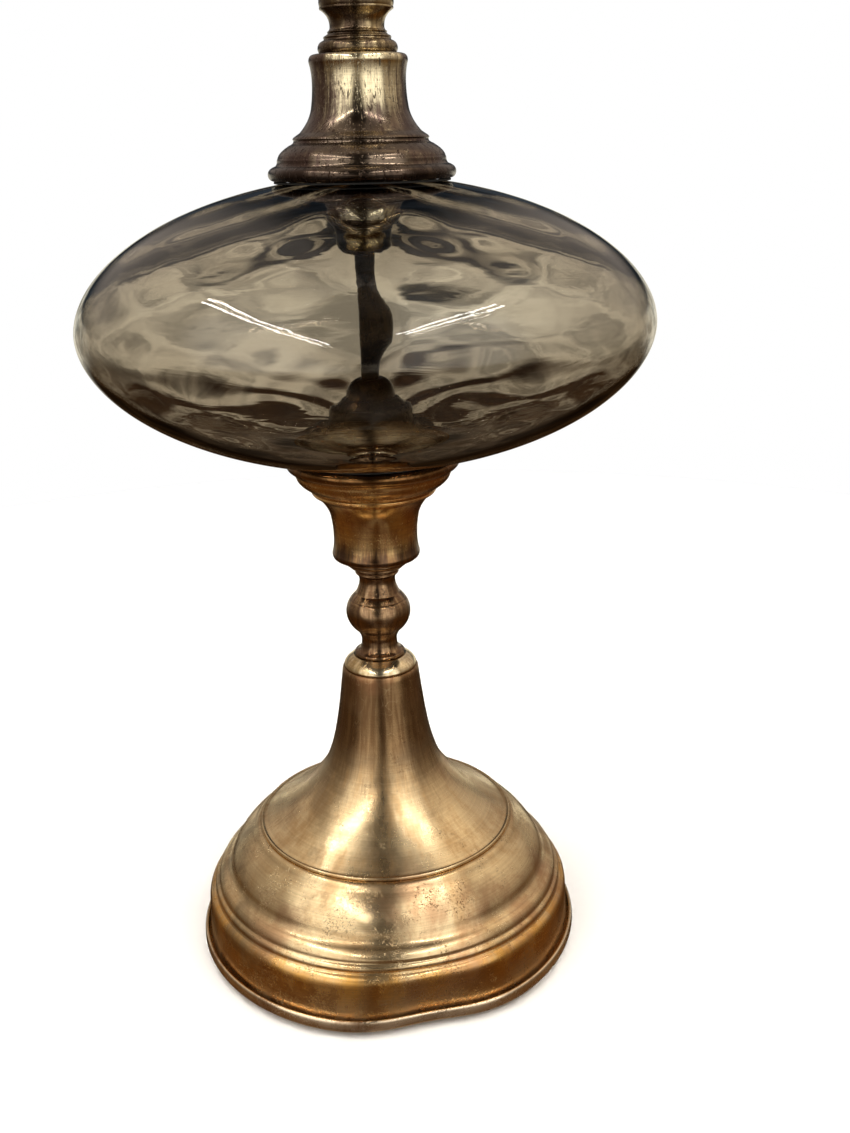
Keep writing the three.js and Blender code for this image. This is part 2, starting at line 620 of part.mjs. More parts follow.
buildBase();
const columnTopZ = buildColumn();
buildInnerStacks();
addPiece('lamp_pipe', ring(PIPE_BORE_RADIUS, PIPE_RADIUS, PIPE_BOTTOM_Z, PIPE_TOP_Z, COARSE), platedSteel);
buildLampholder(columnTopZ);

export default lamp;
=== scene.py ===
"""Looks of a brass and smoked glass table lamp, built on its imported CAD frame.

Every turned piece is a fine surface of revolution that stands for its faceted CAD node.
Outlines are written in millimetres and every piece is placed by its node's box in the frame.
"""

import math
from functools import reduce

import bpy
import numpy as np
from mathutils import Matrix, Vector


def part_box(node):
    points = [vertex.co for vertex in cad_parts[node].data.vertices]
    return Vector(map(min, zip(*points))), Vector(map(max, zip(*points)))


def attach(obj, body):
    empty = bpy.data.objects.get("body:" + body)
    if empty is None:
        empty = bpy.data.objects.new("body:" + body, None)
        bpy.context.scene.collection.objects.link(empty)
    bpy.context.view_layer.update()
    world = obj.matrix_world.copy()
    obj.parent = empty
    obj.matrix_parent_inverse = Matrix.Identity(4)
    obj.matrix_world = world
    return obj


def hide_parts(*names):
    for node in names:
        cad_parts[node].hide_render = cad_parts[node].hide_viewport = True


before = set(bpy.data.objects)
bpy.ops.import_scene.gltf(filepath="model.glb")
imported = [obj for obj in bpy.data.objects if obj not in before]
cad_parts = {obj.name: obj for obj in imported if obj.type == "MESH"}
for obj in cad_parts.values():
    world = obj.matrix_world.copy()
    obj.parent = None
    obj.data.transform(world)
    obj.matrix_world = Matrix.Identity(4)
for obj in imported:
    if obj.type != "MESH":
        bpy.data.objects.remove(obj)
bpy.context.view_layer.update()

MM = 0.001
LARGE = 192  # flats round a large turned piece
SMALL = 96  # and round a small one
SHARP_DEGREES = 38  # edges sharper than this aren't shaded smooth


# ---- Outlines ----


def bezier(a, b, c, d, steps):
    """Points of a cubic curve from a to d, without a."""
    t = np.linspace(0, 1, steps + 1)[1:, None]
    a, b, c, d = (np.array(p, float) for p in (a, b, c, d))
    return (1 - t) ** 3 * a + 3 * (1 - t) ** 2 * t * b + 3 * (1 - t) * t**2 * c + t**3 * d


def outline(*steps, closed=True, curve_steps=14):
    """Points of a section in the r-z half plane, drawn counter-clockwise.

    A step is a corner (r, z), a rounded corner (r, z, rounding), or a curve
    (r1, z1, r2, z2, r, z) that leaves the last point towards 1 and reaches r, z from 2.
    """
    points, roundings = [], []
    for step in steps:
        if len(step) == 6:
            curve = bezier(points[-1], step[0:2], step[2:4], step[4:6], curve_steps)
            points.extend(curve)
            roundings.extend([0] * len(curve))
        else:
            points.append(np.array(step[:2], float))
            roundings.append(step[2] if len(step) == 3 else 0)
    return soften(np.array(points), roundings, closed)


def soften(points, roundings, closed, steps=5):
    """Replaces each corner that has a rounding by a short curve."""
    count = len(points)
    result = []
    for i, (corner, size) in enumerate(zip(points, roundings)):
        ends = not closed and i in (0, count - 1)
        if size == 0 or ends:
            result.append(corner)
            continue
        before, after = points[i - 1], points[(i + 1) % count]
        back = min(size / np.linalg.norm(before - corner), 0.48)
        on = min(size / np.linalg.norm(after - corner), 0.48)
        start = corner + (before - corner) * back
        end = corner + (after - corner) * on
        for t in np.linspace(0, 1, steps):
            result.append((1 - t) ** 2 * start + 2 * (1 - t) * t * corner + t**2 * end)
    return np.array(result)


def sheet(face, wall):
    """Closes an outer face into a sheet of the given wall, on the face's left side."""
    tangent = np.gradient(face, axis=0)
    tangent /= np.linalg.norm(tangent, axis=1, keepdims=True)
    inward = np.stack([-tangent[:, 1], tangent[:, 0]], 1)
    return np.vstack([face, (face + inward * wall)[::-1]])


def lifted(points, z):
    return points + np.array([0, z])


def mirrored(points, z):
    """The outline upside down, with its z = 0 at z and still counter-clockwise."""
    return (points * np.array([1, -1]) + np.array([0, z]))[::-1]


# ---- Meshes ----


def placed(name, data):
    """New object in the scene that holds the data."""
    thing = bpy.data.objects.new(name, data)
    bpy.context.scene.collection.objects.link(thing)
    return thing


def smooth(mesh):
    """Shades the mesh smooth, apart from its sharp edges."""
    mesh.polygons.foreach_set("use_smooth", [True] * len(mesh.polygons))
    mesh.set_sharp_from_angle(angle=math.radians(SHARP_DEGREES))


def mesh_object(name, vertices, faces):
    mesh = bpy.data.meshes.new(name)
    mesh.from_pydata([tuple(v) for v in vertices], [], faces)
    smooth(mesh)
    mesh.update()
    return placed(name, mesh)


def spin(points, segments, reshape):
    """Vertices of an outline in millimetres turned about Z; reshape moves (x, y, z) arrays."""
    angles = np.arange(segments) * (2 * math.pi / segments)
    x = np.outer(np.cos(angles), points[:, 0])
    y = np.outer(np.sin(angles), points[:, 0])
    z = np.broadcast_to(points[:, 1], x.shape)
    if reshape is not None:
        x, y, z = reshape(x, y, z)
    return np.stack([x, y, z], -1).reshape(-1, 3) * MM


def turn(name, points, segments=LARGE, reshape=None):
    """Turns a closed outline about the Z axis."""
    vertices = spin(points, segments, reshape)
    count = len(points)
    faces = []
    for i in range(segments):
        here, there = i * count, ((i + 1) % segments) * count
        for j in range(count):
            k = (j + 1) % count
            faces.append((here + j, there + j, there + k, here + k))
    return mesh_object(name, vertices, faces)


def solid_turn(name, points, segments=SMALL, reshape=None):
    """Turns an open outline that starts and ends on the Z axis."""
    count = len(points) - 2
    vertices = [*spin(points[1:-1], segments, reshape)]
    bottom, top = len(vertices), len(vertices) + 1
    vertices += [np.array([0, 0, points[0][1]]) * MM, np.array([0, 0, points[-1][1]]) * MM]
    faces = []
    for i in range(segments):
        here, there = i * count, ((i + 1) % segments) * count
        for j in range(count - 1):
            faces.append((here + j, there + j, there + j + 1, here + j + 1))
        faces.append((bottom, there, here))
        faces.append((top, here + count - 1, there + count - 1))
    return mesh_object(name, vertices, faces)


def lay_along(piece, direction, origin):
    """Turns a piece made along +Z to a direction, and moves its z = 0 point to origin (mm)."""
    turn_to = Vector((0, 0, 1)).rotation_difference(Vector(direction)).to_matrix().to_4x4()
    piece.data.transform(Matrix.Translation(Vector(origin) * MM) @ turn_to)
    return piece


def carve(piece, cutter):
    """Cuts the cutter out of the piece and deletes the cutter."""
    modifier = piece.modifiers.new("carve", "BOOLEAN")
    modifier.operation = "DIFFERENCE"
    modifier.solver = "EXACT"
    modifier.object = cutter
    bpy.context.view_layer.update()
    evaluated = piece.evaluated_get(bpy.context.evaluated_depsgraph_get())
    carved = bpy.data.meshes.new_from_object(evaluated)
    carved.name = piece.data.name
    piece.modifiers.clear()
    piece.data = carved
    bpy.data.objects.remove(cutter)
    smooth(carved)
    return piece


def drill(radius, length, direction, origin, segments=48):
    """Cylinder that bores a hole in a direction from the origin, in millimetres."""
    section = outline((0, 0), (radius, 0), (radius, length), (0, length), closed=False)
    return lay_along(solid_turn("drill", section, segments), direction, origin)


def fit(piece, node, material, body="lamp"):
    """Puts the material on a piece that stands for a CAD node and rides on its body."""
    piece.data.materials.clear()
    piece.data.materials.append(material)
    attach(piece, body)
    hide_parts(node)
    return piece


def box(node):
    """Lowest and highest corners of a CAD node, in millimetres."""
    low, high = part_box(node)
    return low / MM, high / MM


def stand_in(node, section, material, segments=SMALL, reshape=None):
    """Turned piece that takes the place of a CAD node."""
    fit(turn(node + "_look", section, segments, reshape), node, material)


def span(node):
    """(outer radius, lowest z, highest z) of a turned CAD node, in millimetres."""
    low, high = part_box(node)
    return -low.y / MM, low.z / MM, high.z / MM


def flat_ring(node, bore, bore_edge, edge):
    """Section of a flat ring as wide and high as the CAD node, with rounded edges."""
    radius, low, high = span(node)
    corners = ((bore, low, bore_edge), (radius, low, edge), (radius, high, edge))
    return outline(*corners, (bore, high, bore_edge))


# ---- Material nodes ----


def tint(hex_colour):
    """Linear colour of an sRGB hex code."""
    channels = [int(hex_colour[i : i + 2], 16) / 255 for i in (1, 3, 5)]
    return tuple(c / 12.92 if c <= 0.04045 else ((c + 0.055) / 1.055) ** 2.4 for c in channels)


def rgba(colour):
    """The colour with alpha 1; a socket stays as it is."""
    return (*colour, 1) if isinstance(colour, tuple) else colour


class Nodes:
    """Adds linked nodes to the tree of a new material or world."""

    def __init__(self, owner):
        owner.use_nodes = True
        self.owner = owner
        self.tree = owner.node_tree
        self.tree.nodes.clear()
        self.place = self.add("TexCoord").outputs["Object"]

    @classmethod
    def of_material(cls, name):
        return cls(bpy.data.materials.new(name))

    def add(self, kind, inputs=None, **settings):
        """Adds a shader node whose inputs are values or sockets, by index or name."""
        node = self.tree.nodes.new("ShaderNode" + kind)
        for key, value in settings.items():
            setattr(node, key, value)
        for key, value in (inputs or {}).items():
            if isinstance(value, bpy.types.NodeSocket):
                self.tree.links.new(value, node.inputs[key])
            else:
                node.inputs[key].default_value = value
        return node

    def math(self, operation, a, b=0.0):
        return self.add("Math", {0: a, 1: b}, operation=operation).outputs[0]

    def mix(self, factor, a, b, blend="MIX"):
        inputs = {0: factor, 6: rgba(a), 7: rgba(b)}
        return self.add("Mix", inputs, data_type="RGBA", blend_type=blend).outputs[2]

    def steps(self, value, low, high, to_low=0.0, to_high=1.0):
        """Smooth step of a value from low..high to to_low..to_high."""
        inputs = {0: value, 1: low, 2: high, 3: to_low, 4: to_high}
        node = self.add("MapRange", inputs, interpolation_type="SMOOTHSTEP")
        return node.outputs[0]

    def ramp(self, value, *stops):
        """Colour of a value from a list of (value, linear colour) stops."""
        low, high = stops[0][0], stops[-1][0]
        share = self.add("MapRange", {0: value, 1: low, 2: high}).outputs[0]
        node = self.add("ValToRGB", {0: share})
        elements = node.color_ramp.elements
        while len(elements) < len(stops):
            elements.new(0.5)
        for element, (place, colour) in zip(elements, stops):
            element.position = (place - low) / (high - low)
            element.color = (*colour, 1)
        return node.outputs[0]

    def noise(self, place, scale, detail=3.0, roughness=0.5, distortion=0.0):
        inputs = {"Vector": place, "Scale": scale, "Detail": detail, "Roughness": roughness}
        return self.add("TexNoise", {**inputs, "Distortion": distortion}).outputs["Fac"]

    def stretch(self, place, x, y, z, turn_degrees=(0, 0, 0)):
        angles = tuple(math.radians(a) for a in turn_degrees)
        inputs = {"Vector": place, "Scale": (x, y, z), "Rotation": angles}
        return self.add("Mapping", inputs).outputs[0]

    def minus(self, a, b):
        return self.math("SUBTRACT", a, b)

    def absolute(self, value):
        return self.math("ABSOLUTE", value)

    def combine(self, x, y, z):
        return self.add("CombineXYZ", {0: x, 1: y, 2: z}).outputs[0]

    def scaled(self, colour, factor):
        return self.mix(1.0, colour, self.combine(factor, factor, factor), "MULTIPLY")

    def bump(self, height, strength, distance, normal=None):
        inputs = {"Height": height, "Strength": strength, "Distance": distance}
        if normal is not None:
            inputs["Normal"] = normal
        return self.add("Bump", inputs).outputs[0]

    def sum(self, *values):
        return reduce(lambda a, b: self.math("ADD", a, b), values)

    def times(self, *values):
        return reduce(lambda a, b: self.math("MULTIPLY", a, b), values)

    def polar(self):
        """(x / r, y / r, r, z) of the surface point about the lamp's axis."""
        axes = self.add("SeparateXYZ", {0: self.place})
        x, y, z = axes.outputs[0], axes.outputs[1], axes.outputs[2]
        squares = self.sum(self.times(x, x), self.times(y, y))
        r = self.math("MAXIMUM", self.math("SQRT", squares), 0.0005)
        return self.math("DIVIDE", x, r), self.math("DIVIDE", y, r), r, z

    def surface(self, inputs):
        shader = self.add("BsdfPrincipled", inputs)
        output = self.add("OutputMaterial")
        self.tree.links.new(shader.outputs[0], output.inputs["Surface"])
        return output


def aged_brass(
    name, clean, patina, dark, wear, streaks, flecks, roughness, relief=1.0, stains_and_painted_reflections=(),
    worn_and_lit_side=None, smudges=0.0,
):
    """Turned or spun brass: patina clouds, streaks down the piece, turning lines, flecks, scratches.

    wear is how much of the piece shows clean metal, streaks how far the patina follows the
    meridians, flecks how many dark spots have eaten into it, and smudges how dark the finger
    marks are, each from 0 to 1. Stains and painted reflections (start, end, colour, strength)
    deepen from one height to another, in millimetres, with a dripping edge: they hold patina,
    darkening towards an end, and painted reflections of the dark glass or of a brown table in
    the brass. A worn and lit side (bearing, amount) is cleaner and lighter than the rest, at
    degrees to the right of the front: partly wear, partly a painted highlight where the lights fall.
    """
    n = Nodes.of_material(name)
    ux, uy, r, z = n.polar()
    slope = n.minus(z, r)
    down = n.combine(n.times(ux, 7), n.times(uy, 7), n.times(slope, 22))
    down_fine = n.combine(n.times(ux, 30), n.times(uy, 30), n.times(slope, 60))
    rings = n.combine(n.times(r, 900), n.times(z, 900), 0)
    clouds = n.noise(n.place, 23, 6, 0.6, 0.8)
    streak = n.noise(down, 1.0, 5, 0.62, 0.5)
    fine_streak = n.noise(down_fine, 1.0, 4, 0.65, 0.4)
    speckle = n.noise(n.place, 420, 4, 0.7)
    lathe = n.noise(rings, 1.0, 3, 0.6)
    blend = n.sum(n.times(clouds, 1 - streaks), n.times(streak, streaks))
    blend = n.sum(blend, n.times(n.minus(speckle, 0.5), 0.2))
    blend = n.sum(blend, n.times(n.minus(fine_streak, 0.5), 0.35 * streaks))
    # One side made cleaner and lighter: partly wear, partly a painted highlight where the lights
    # fall.
    if worn_and_lit_side is not None:
        bearing, amount = math.radians(worn_and_lit_side[0]), worn_and_lit_side[1]
        facing = n.minus(n.times(ux, math.sin(bearing)), n.times(uy, math.cos(bearing)))
        blend = n.sum(blend, n.times(n.minus(facing, 0.75), amount))
    middle = 0.64 - 0.3 * wear
    cover = n.steps(blend, middle - 0.11, middle + 0.13)
    colour = n.mix(cover, patina, clean)

    drip = n.minus(n.sum(clouds, streak, fine_streak), 1.5)
    # Bands by height: patina on some pieces, painted reflections of the dark glass or a brown table
    # on others.
    for start, end, tone, strength in stains_and_painted_reflections:
        tone = n.mix(n.steps(streak, 0.44, 0.62, 0, 0.3), tone, patina)
        level = n.sum(z, n.times(drip, 0.0008 * abs(end - start)))
        colour = n.mix(n.steps(level, start * MM, end * MM, 0, strength), colour, tone)
    smudge = n.steps(n.noise(n.place, 19, 7, 0.66, 0.3), 0.47, 0.62, 0, smudges)
    redness = n.steps(n.noise(n.place, 11, 1), 0.42, 0.6)
    colour = n.mix(smudge, colour, n.mix(redness, (0.24, 0.17, 0.10), (0.42, 0.19, 0.09)))

    pointed = n.add("NewGeometry").outputs["Pointiness"]
    colour = n.mix(n.steps(pointed, 0.43, 0.485, 0.7, 0), colour, dark)
    colour = n.mix(n.steps(pointed, 0.52, 0.58, 0, 0.6), colour, clean)
    if streaks > 0.5:
        fleck_place = n.combine(n.times(ux, 24), n.times(uy, 24), n.times(slope, 280))
    else:
        fleck_place = n.stretch(n.place, 1100, 1100, 1100)
    fleck = n.steps(n.noise(fleck_place, 1.0, 4, 0.72, 0.6), 0.56, 0.62)
    patches = n.noise(n.place, 55, 5, 0.7)
    fleck = n.times(fleck, n.steps(patches, 0.66 - 0.3 * flecks, 0.74 - 0.2 * flecks))
    colour = n.mix(n.times(fleck, 0.85), colour, dark)
    scratch = n.noise(n.stretch(n.place, 1, 9, 2.5, (20, 35, 50)), 26, 2, 0.4)
    scratch = n.steps(n.absolute(n.minus(scratch, 0.5)), 0, 0.0045, 1.0, 0)
    scratch = n.times(scratch, n.steps(n.noise(n.place, 33, 1), 0.52, 0.6))
    colour = n.mix(n.times(scratch, 0.35), colour, clean)
    colour = n.mix(n.steps(lathe, 0.35, 0.65, 0, 0.16), colour, dark)

    rough = n.sum(n.steps(cover, 0, 1, roughness + 0.08, roughness), n.times(fleck, 0.25))
    rough = n.sum(rough, n.times(smudge, 0.1))
    rough = n.sum(rough, n.steps(n.noise(n.place, 60, 4), 0.3, 0.7, -0.04, 0.05))
    normal = n.bump(lathe, 0.1 * relief, 0.0002)
    normal = n.bump(n.minus(0, fleck), 0.5 * relief, 0.00015, normal)
    normal = n.bump(n.noise(n.place, 38, 2), 0.22 * relief, 0.0012, normal)
    normal = n.bump(scratch, -0.15, 0.0001, normal)
    grain = n.add("Tangent", direction_type="RADIAL", axis="Z").outputs[0]
    inputs = {"Base Color": colour, "Roughness": rough, "Normal": normal, "Tangent": grain}
    n.surface({**inputs, "Metallic": 1.0, "Anisotropic": 0.6, "Anisotropic Rotation": 0.25})
    return n.owner


def smoked_glass(name):
    """Smoke-tinted blown glass: the tint lies in the wall, and seeds and cords ripple its face."""
    n = Nodes.of_material(name)
    ux, uy, r, z = n.polar()
    cords = n.combine(n.times(ux, 3), n.times(uy, 3), n.times(z, 120))
    relief = n.bump(n.noise(cords, 1.0, 2, 0.5, 1.2), 0.05, 0.001)
    relief = n.bump(n.noise(n.place, 45, 1), 0.12, 0.0012, relief)
    rough = n.steps(n.noise(n.place, 30, 4), 0.55, 0.8, 0, 0.015)
    inputs = {"Base Color": (1, 1, 1, 1), "Roughness": rough, "Normal": relief, "IOR": 1.5}
    output = n.surface({**inputs, "Transmission Weight": 1.0})
    smoke = n.add("VolumeAbsorption", {"Color": rgba(tint("#b4a280")), "Density": 165.0})
    n.tree.links.new(smoke.outputs[0], output.inputs["Volume"])
    return n.owner


def plated_steel(name, base, shade):
    n = Nodes.of_material(name)
    spangle = n.noise(n.place, 160, 5, 0.6)
    colour = n.mix(n.steps(spangle, 0.3, 0.7), base, shade)
    relief = n.bump(n.noise(n.place, 900, 2), 0.2, 0.0001)
    rough = n.steps(n.noise(n.place, 90, 3), 0.3, 0.7, 0.24, 0.42)
    n.surface({"Base Color": colour, "Roughness": rough, "Normal": relief, "Metallic": 1.0})
    return n.owner


def cast_iron(name):
    n = Nodes.of_material(name)
    grain = n.noise(n.place, 420, 6, 0.7)
    rust = n.steps(n.noise(n.place, 45, 5, 0.7), 0.52, 0.68)
    colour = n.mix(n.steps(grain, 0.3, 0.7), tint("#2b2b2d"), tint("#4c4b4a"))
    colour = n.mix(n.times(rust, 0.7), colour, tint("#5d3522"))
    relief = n.bump(grain, 0.7, 0.0006)
    n.surface({"Base Color": colour, "Roughness": 0.78, "Normal": relief, "Metallic": 0.6})
    return n.owner


def felt(name):
    n = Nodes.of_material(name)
    fibres = n.noise(n.stretch(n.place, 1, 3, 1, (0, 0, 25)), 900, 6, 0.75, 1.5)
    matted = n.noise(n.place, 90, 4)
    colour = n.mix(n.steps(fibres, 0.3, 0.7), tint("#1d3328"), tint("#3f6350"))
    colour = n.mix(n.steps(matted, 0.35, 0.65, 0, 0.4), colour, tint("#2a4031"))
    relief = n.bump(fibres, 0.9, 0.0006)
    n.surface({"Base Color": colour, "Roughness": 0.95, "Normal": relief, "Sheen Weight": 0.3})
    return n.owner


def moulded(name, base, shade, roughness):
    """Moulded phenolic or rubber: faint flow marks, dust and a fine texture."""
    n = Nodes.of_material(name)
    flow = n.noise(n.place, 70, 4, 0.55, 1.5)
    dust = n.steps(n.noise(n.place, 500, 5, 0.7), 0.55, 0.75)
    colour = n.mix(n.steps(flow, 0.3, 0.7), base, shade)
    colour = n.mix(n.times(dust, 0.12), colour, tint("#8d8578"))
    rough = n.steps(flow, 0.3, 0.7, roughness - 0.06, roughness + 0.08)
    relief = n.bump(n.noise(n.place, 1400, 3), 0.15, 0.0001)
    n.surface({"Base Color": colour, "Roughness": rough, "Normal": relief})
    return n.owner


def fibre_card(name):
    n = Nodes.of_material(name)
    fibres = n.noise(n.stretch(n.place, 1, 1, 0.3), 900, 5, 0.7)
    colour = n.mix(n.steps(fibres, 0.3, 0.7), tint("#7a6444"), tint("#a08a64"))
    relief = n.bump(fibres, 0.4, 0.0002)
    n.surface({"Base Color": colour, "Roughness": 0.85, "Normal": relief})
    return n.owner


def painted_floor(name):
    n = Nodes.of_material(name)
    mottle = n.noise(n.place, 3, 3)
    colour = n.mix(n.steps(mottle, 0.3, 0.7), tint("#f1f0ee"), tint("#f6f5f3"))
    relief = n.bump(n.noise(n.place, 260, 2), 0.04, 0.0004)
    n.surface({"Base Color": colour, "Roughness": 0.7, "Normal": relief})
    return n.owner


_, skirt_z, _ = span("base_dome")
_, foot_z, _ = span("base_trumpet")
_, upper_lip_z, _ = span("upper_bell")
_, lower_bell_z, lower_lip_z = span("lower_bell")
base_colours = (0.88, 0.68, 0.40), (0.66, 0.44, 0.22), (0.16, 0.09, 0.04)
spun_brass = aged_brass(
    "spun_brass", *base_colours, wear=0.62, streaks=0.25, flecks=0.6, roughness=0.23, smudges=0.6,
    # Orange band down the skirt: a painted reflection of a brown table below the lamp.
    stains_and_painted_reflections=[(skirt_z + 39, skirt_z + 27, (0.84, 0.43, 0.09), 0.9)],
)
trumpet_brass = aged_brass(
    "trumpet_brass", *base_colours, wear=0.6, streaks=0.5, flecks=0.3, roughness=0.25, smudges=0.5,
    stains_and_painted_reflections=[(foot_z + 16, foot_z + 62, (0.19, 0.10, 0.043), 0.95)],
)
rim_brass = aged_brass(
    "rim_brass", (0.98, 0.80, 0.58), (0.40, 0.22, 0.11), (0.05, 0.025, 0.012),
    wear=0.7, streaks=0.1, flecks=0.5, roughness=0.24,
)
collar_brass = aged_brass(
    "collar_brass", (0.97, 0.82, 0.56), (0.50, 0.34, 0.15), (0.08, 0.04, 0.02),
    wear=0.6, streaks=0.3, flecks=0.35, roughness=0.16,
)
spindle_brass = aged_brass(
    "spindle_brass", (0.48, 0.32, 0.18), (0.17, 0.095, 0.05), (0.03, 0.016, 0.01),
    wear=0.4, streaks=0.4, flecks=0.4, roughness=0.16,
)
brown_brass = aged_brass(
    "brown_brass", (0.88, 0.62, 0.28), (0.50, 0.24, 0.085), (0.05, 0.02, 0.01),
    wear=0.45, streaks=0.3, flecks=0.55, roughness=0.17,
    stains_and_painted_reflections=[
        # Darker towards the bell's narrow lower end.
        (lower_bell_z + 17, lower_bell_z + 5, (0.085, 0.05, 0.038), 0.9),
        # Dark band at the lip under the glass: painted shade and a painted reflection of the dark
        # glass.
        (lower_lip_z - 9, lower_lip_z - 3, (0.12, 0.05, 0.015), 0.9),
    ],
)
dark_brass = aged_brass(
    "dark_brass", (1.0, 0.87, 0.58), (0.13, 0.085, 0.065), (0.025, 0.014, 0.01),
    # Cleaner, lighter front right of the bell: partly wear, partly a painted highlight.
    wear=0.55, streaks=0.55, flecks=1.0, roughness=0.15, relief=1.2, worn_and_lit_side=(8, 0.45),
    stains_and_painted_reflections=[
        (upper_lip_z + 42, upper_lip_z + 28, (0.075, 0.045, 0.04), 0.9),
        # Near-black band at the lip: a painted reflection of the dark glass below.
        (upper_lip_z + 9, upper_lip_z + 3, (0.04, 0.028, 0.022), 0.85),
    ],
)
neck_brass = aged_brass(
    "neck_brass", (0.60, 0.47, 0.27), (0.09, 0.06, 0.04), (0.025, 0.014, 0.01),
    wear=0.4, streaks=0.3, flecks=0.7, roughness=0.15,
)
# Near-black brass for the pieces inside the smoked globe: partly dark tarnish, partly painted shade
# of the dim inside.
dark_and_shaded_brass = aged_brass(
    "dark_and_shaded_brass", (0.09, 0.06, 0.032), (0.02, 0.013, 0.008), (0.01, 0.007, 0.005),
    wear=0.35, streaks=0.2, flecks=0.5, roughness=0.2,
)
holder_brass = aged_brass(
    "holder_brass", (0.84, 0.66, 0.34), (0.60, 0.42, 0.18), (0.12, 0.07, 0.03),
    wear=0.7, streaks=0.2, flecks=0.15, roughness=0.22,
)
zinc = plated_steel("zinc", tint("#a9a9a4"), tint("#7d7d7a"))
aluminium = plated_steel("aluminium", tint("#c9c9c6"), tint("#a4a4a2"))
iron = cast_iron("iron")
green_felt = felt("green_felt")
phenolic = moulded("phenolic", tint("#15120f"), tint("#241c16"), 0.3)
rubber = moulded("rubber", tint("#141414"), tint("#201f1e"), 0.7)
card = fibre_card("card")
glass = smoked_glass("glass")


# ---- Base ----

BORE = span("lamp_pipe")[0] + 0.3  # of the pieces threaded on the lamp pipe
SHEET = 1.2
INLET_RADIUS = 5
DENT_DEPTH = 7.8
DENT_BEARING = 11  # degrees to the right of the front
DENT_WIDTH = 16
DENT_TOP = 44
DENT_START = 80  # radius where the push begins
DENT_RUN = 25  # from there to its full depth


def dented(x, y, z):
    """Pushes in the front right of the skirt and rim, less and less up to the shoulder."""
    bearing = np.degrees(np.arctan2(x, -y)) - DENT_BEARING
    radius = np.hypot(x, y)
    fade = np.clip((DENT_TOP - z) / DENT_TOP, 0, 1) ** 0.8
    near_wall = np.clip((radius - DENT_START) / DENT_RUN, 0, 1)
    push = DENT_DEPTH * np.exp(-((bearing / DENT_WIDTH) ** 2)) * fade * near_wall
    keep = 1 - push / radius
    return x * keep, y * keep, z


def build_base():
    radius, low, high = span("felt_pad")
    pad = outline((0, low), (radius, low, 0.8), (radius, high, 0.8), (0, high), closed=False)
    fit(solid_turn("felt_pad_look", pad, LARGE, dented), "felt_pad", green_felt)
    build_pan()
    build_weight()
    build_dome()
    build_trumpet()
    build_bushing()
    stand_in("lock_washer", flat_ring("lock_washer", BORE, 0.2, 0.2), zinc, SMALL, toothed)
    build_nut("base_nut", zinc)


def toothed(x, y, z):
    """Cuts external teeth into a washer."""
    teeth, root, depth = 12, 6.6, 1.6
    radius = np.hypot(x, y)
    outer = np.clip((radius - root) / 2, 0, 1)
    gaps = 0.5 + 0.5 * np.sign(np.cos(teeth * np.arctan2(y, x)))
    keep = 1 - outer * gaps * depth / radius
    return x * keep, y * keep, z


def build_nut(node, material):
    """Hexagonal nut with chamfered corners."""
    low, high = box(node)
    flat = (high.y - low.y) / 2
    ring = outline((BORE, low.z, 0.4), (flat, low.z), (flat, high.z), (BORE, high.z, 0.4))
    steps = np.linspace(0, 1, 9)[1:-1, None]
    rim = np.array([[flat, low.z]]) + steps * np.array([[0, high.z - low.z]])
    at = int(np.argmax(np.isclose(ring[:, 0], flat) & np.isclose(ring[:, 1], high.z)))
    ring = np.insert(ring, at, rim, axis=0)

    def hexagon(x, y, z):
        radius = np.hypot(x, y)
        sector = (np.degrees(np.arctan2(y, x)) % 60) - 30
        reach = flat / np.cos(np.radians(sector))
        outer = radius > flat - 0.01
        grow = np.where(outer, reach / radius, 1)
        over = np.maximum(reach - flat * 1.02, 0) * 0.58
        z = np.where(outer, np.clip(z, low.z + over, high.z - over), z)
        return x * grow, y * grow, z

    stand_in(node, ring, material, SMALL, hexagon)


def build_pan():
    radius, low, high = span("base_pan")
    floor = span("felt_pad")[2] + 0.3
    inside = floor + SHEET
    dish = 9.8
    roll = 3.8
    pan = outline(
        (BORE, dish, 0.3), (17, dish, 1.2), (21, floor, 1.2), (radius - roll, low),
        (radius - roll + 2.4, low, radius - 0.4, low + 1.6, radius, 6),
        (radius + 0.1, 7.4, radius, high, radius - 1.1, high),
        (radius - 2, high, radius - 2.2, high - 0.6, radius - 2.1, high - 2),
        (radius - 2.2, inside + 1.4, 0.8), (radius - 3.6, inside, 0.6), (22, inside, 1.2),
        (18, dish + SHEET, 1.2), (BORE, dish + SHEET, 0.3),
    )
    stand_in("base_pan", pan, rim_brass, LARGE, dented)


def build_weight():
    radius, low, high = span("base_weight")
    ring = outline((27, low, 1), (radius, low, 1), (radius - 1, high, 3), (29, high, 3))
    stand_in("base_weight", ring, iron, LARGE)


def build_dome():
    radius, low, deck = span("base_dome")
    face = outline(
        (radius, low), (110.4, 28.5), (110.4, 32, 109.8, 34.6, 107.6, 36), (106.6, 36.5, 0.4),
        (106, 37.6, 0.4), (106.4, 39, 106, 40.6, 104.9, 41.3), (104, 41.8, 0.3),
        (103.7, 42.7, 0.3), (103.6, 45.2, 101.8, 47.4, 99.2, 48.5),
        (95.9, 49.9, 95.3, 52.4, 94.5, 55.2), (92, 61, 86.8, 66.9, 81.6, 71.4),
        (79.6, 73.1, 78.9, 75.4, 76.6, deck), (74.5, deck), (BORE, deck),
        closed=False,
    )
    piece = turn("base_dome_look", sheet(face, SHEET), LARGE, dented)
    low, high = box("cord_bushing")
    carve(piece, drill(INLET_RADIUS, 20, (0, 1, 0), (0, 100, (low.z + high.z) / 2)))
    fit(piece, "base_dome", spun_brass)


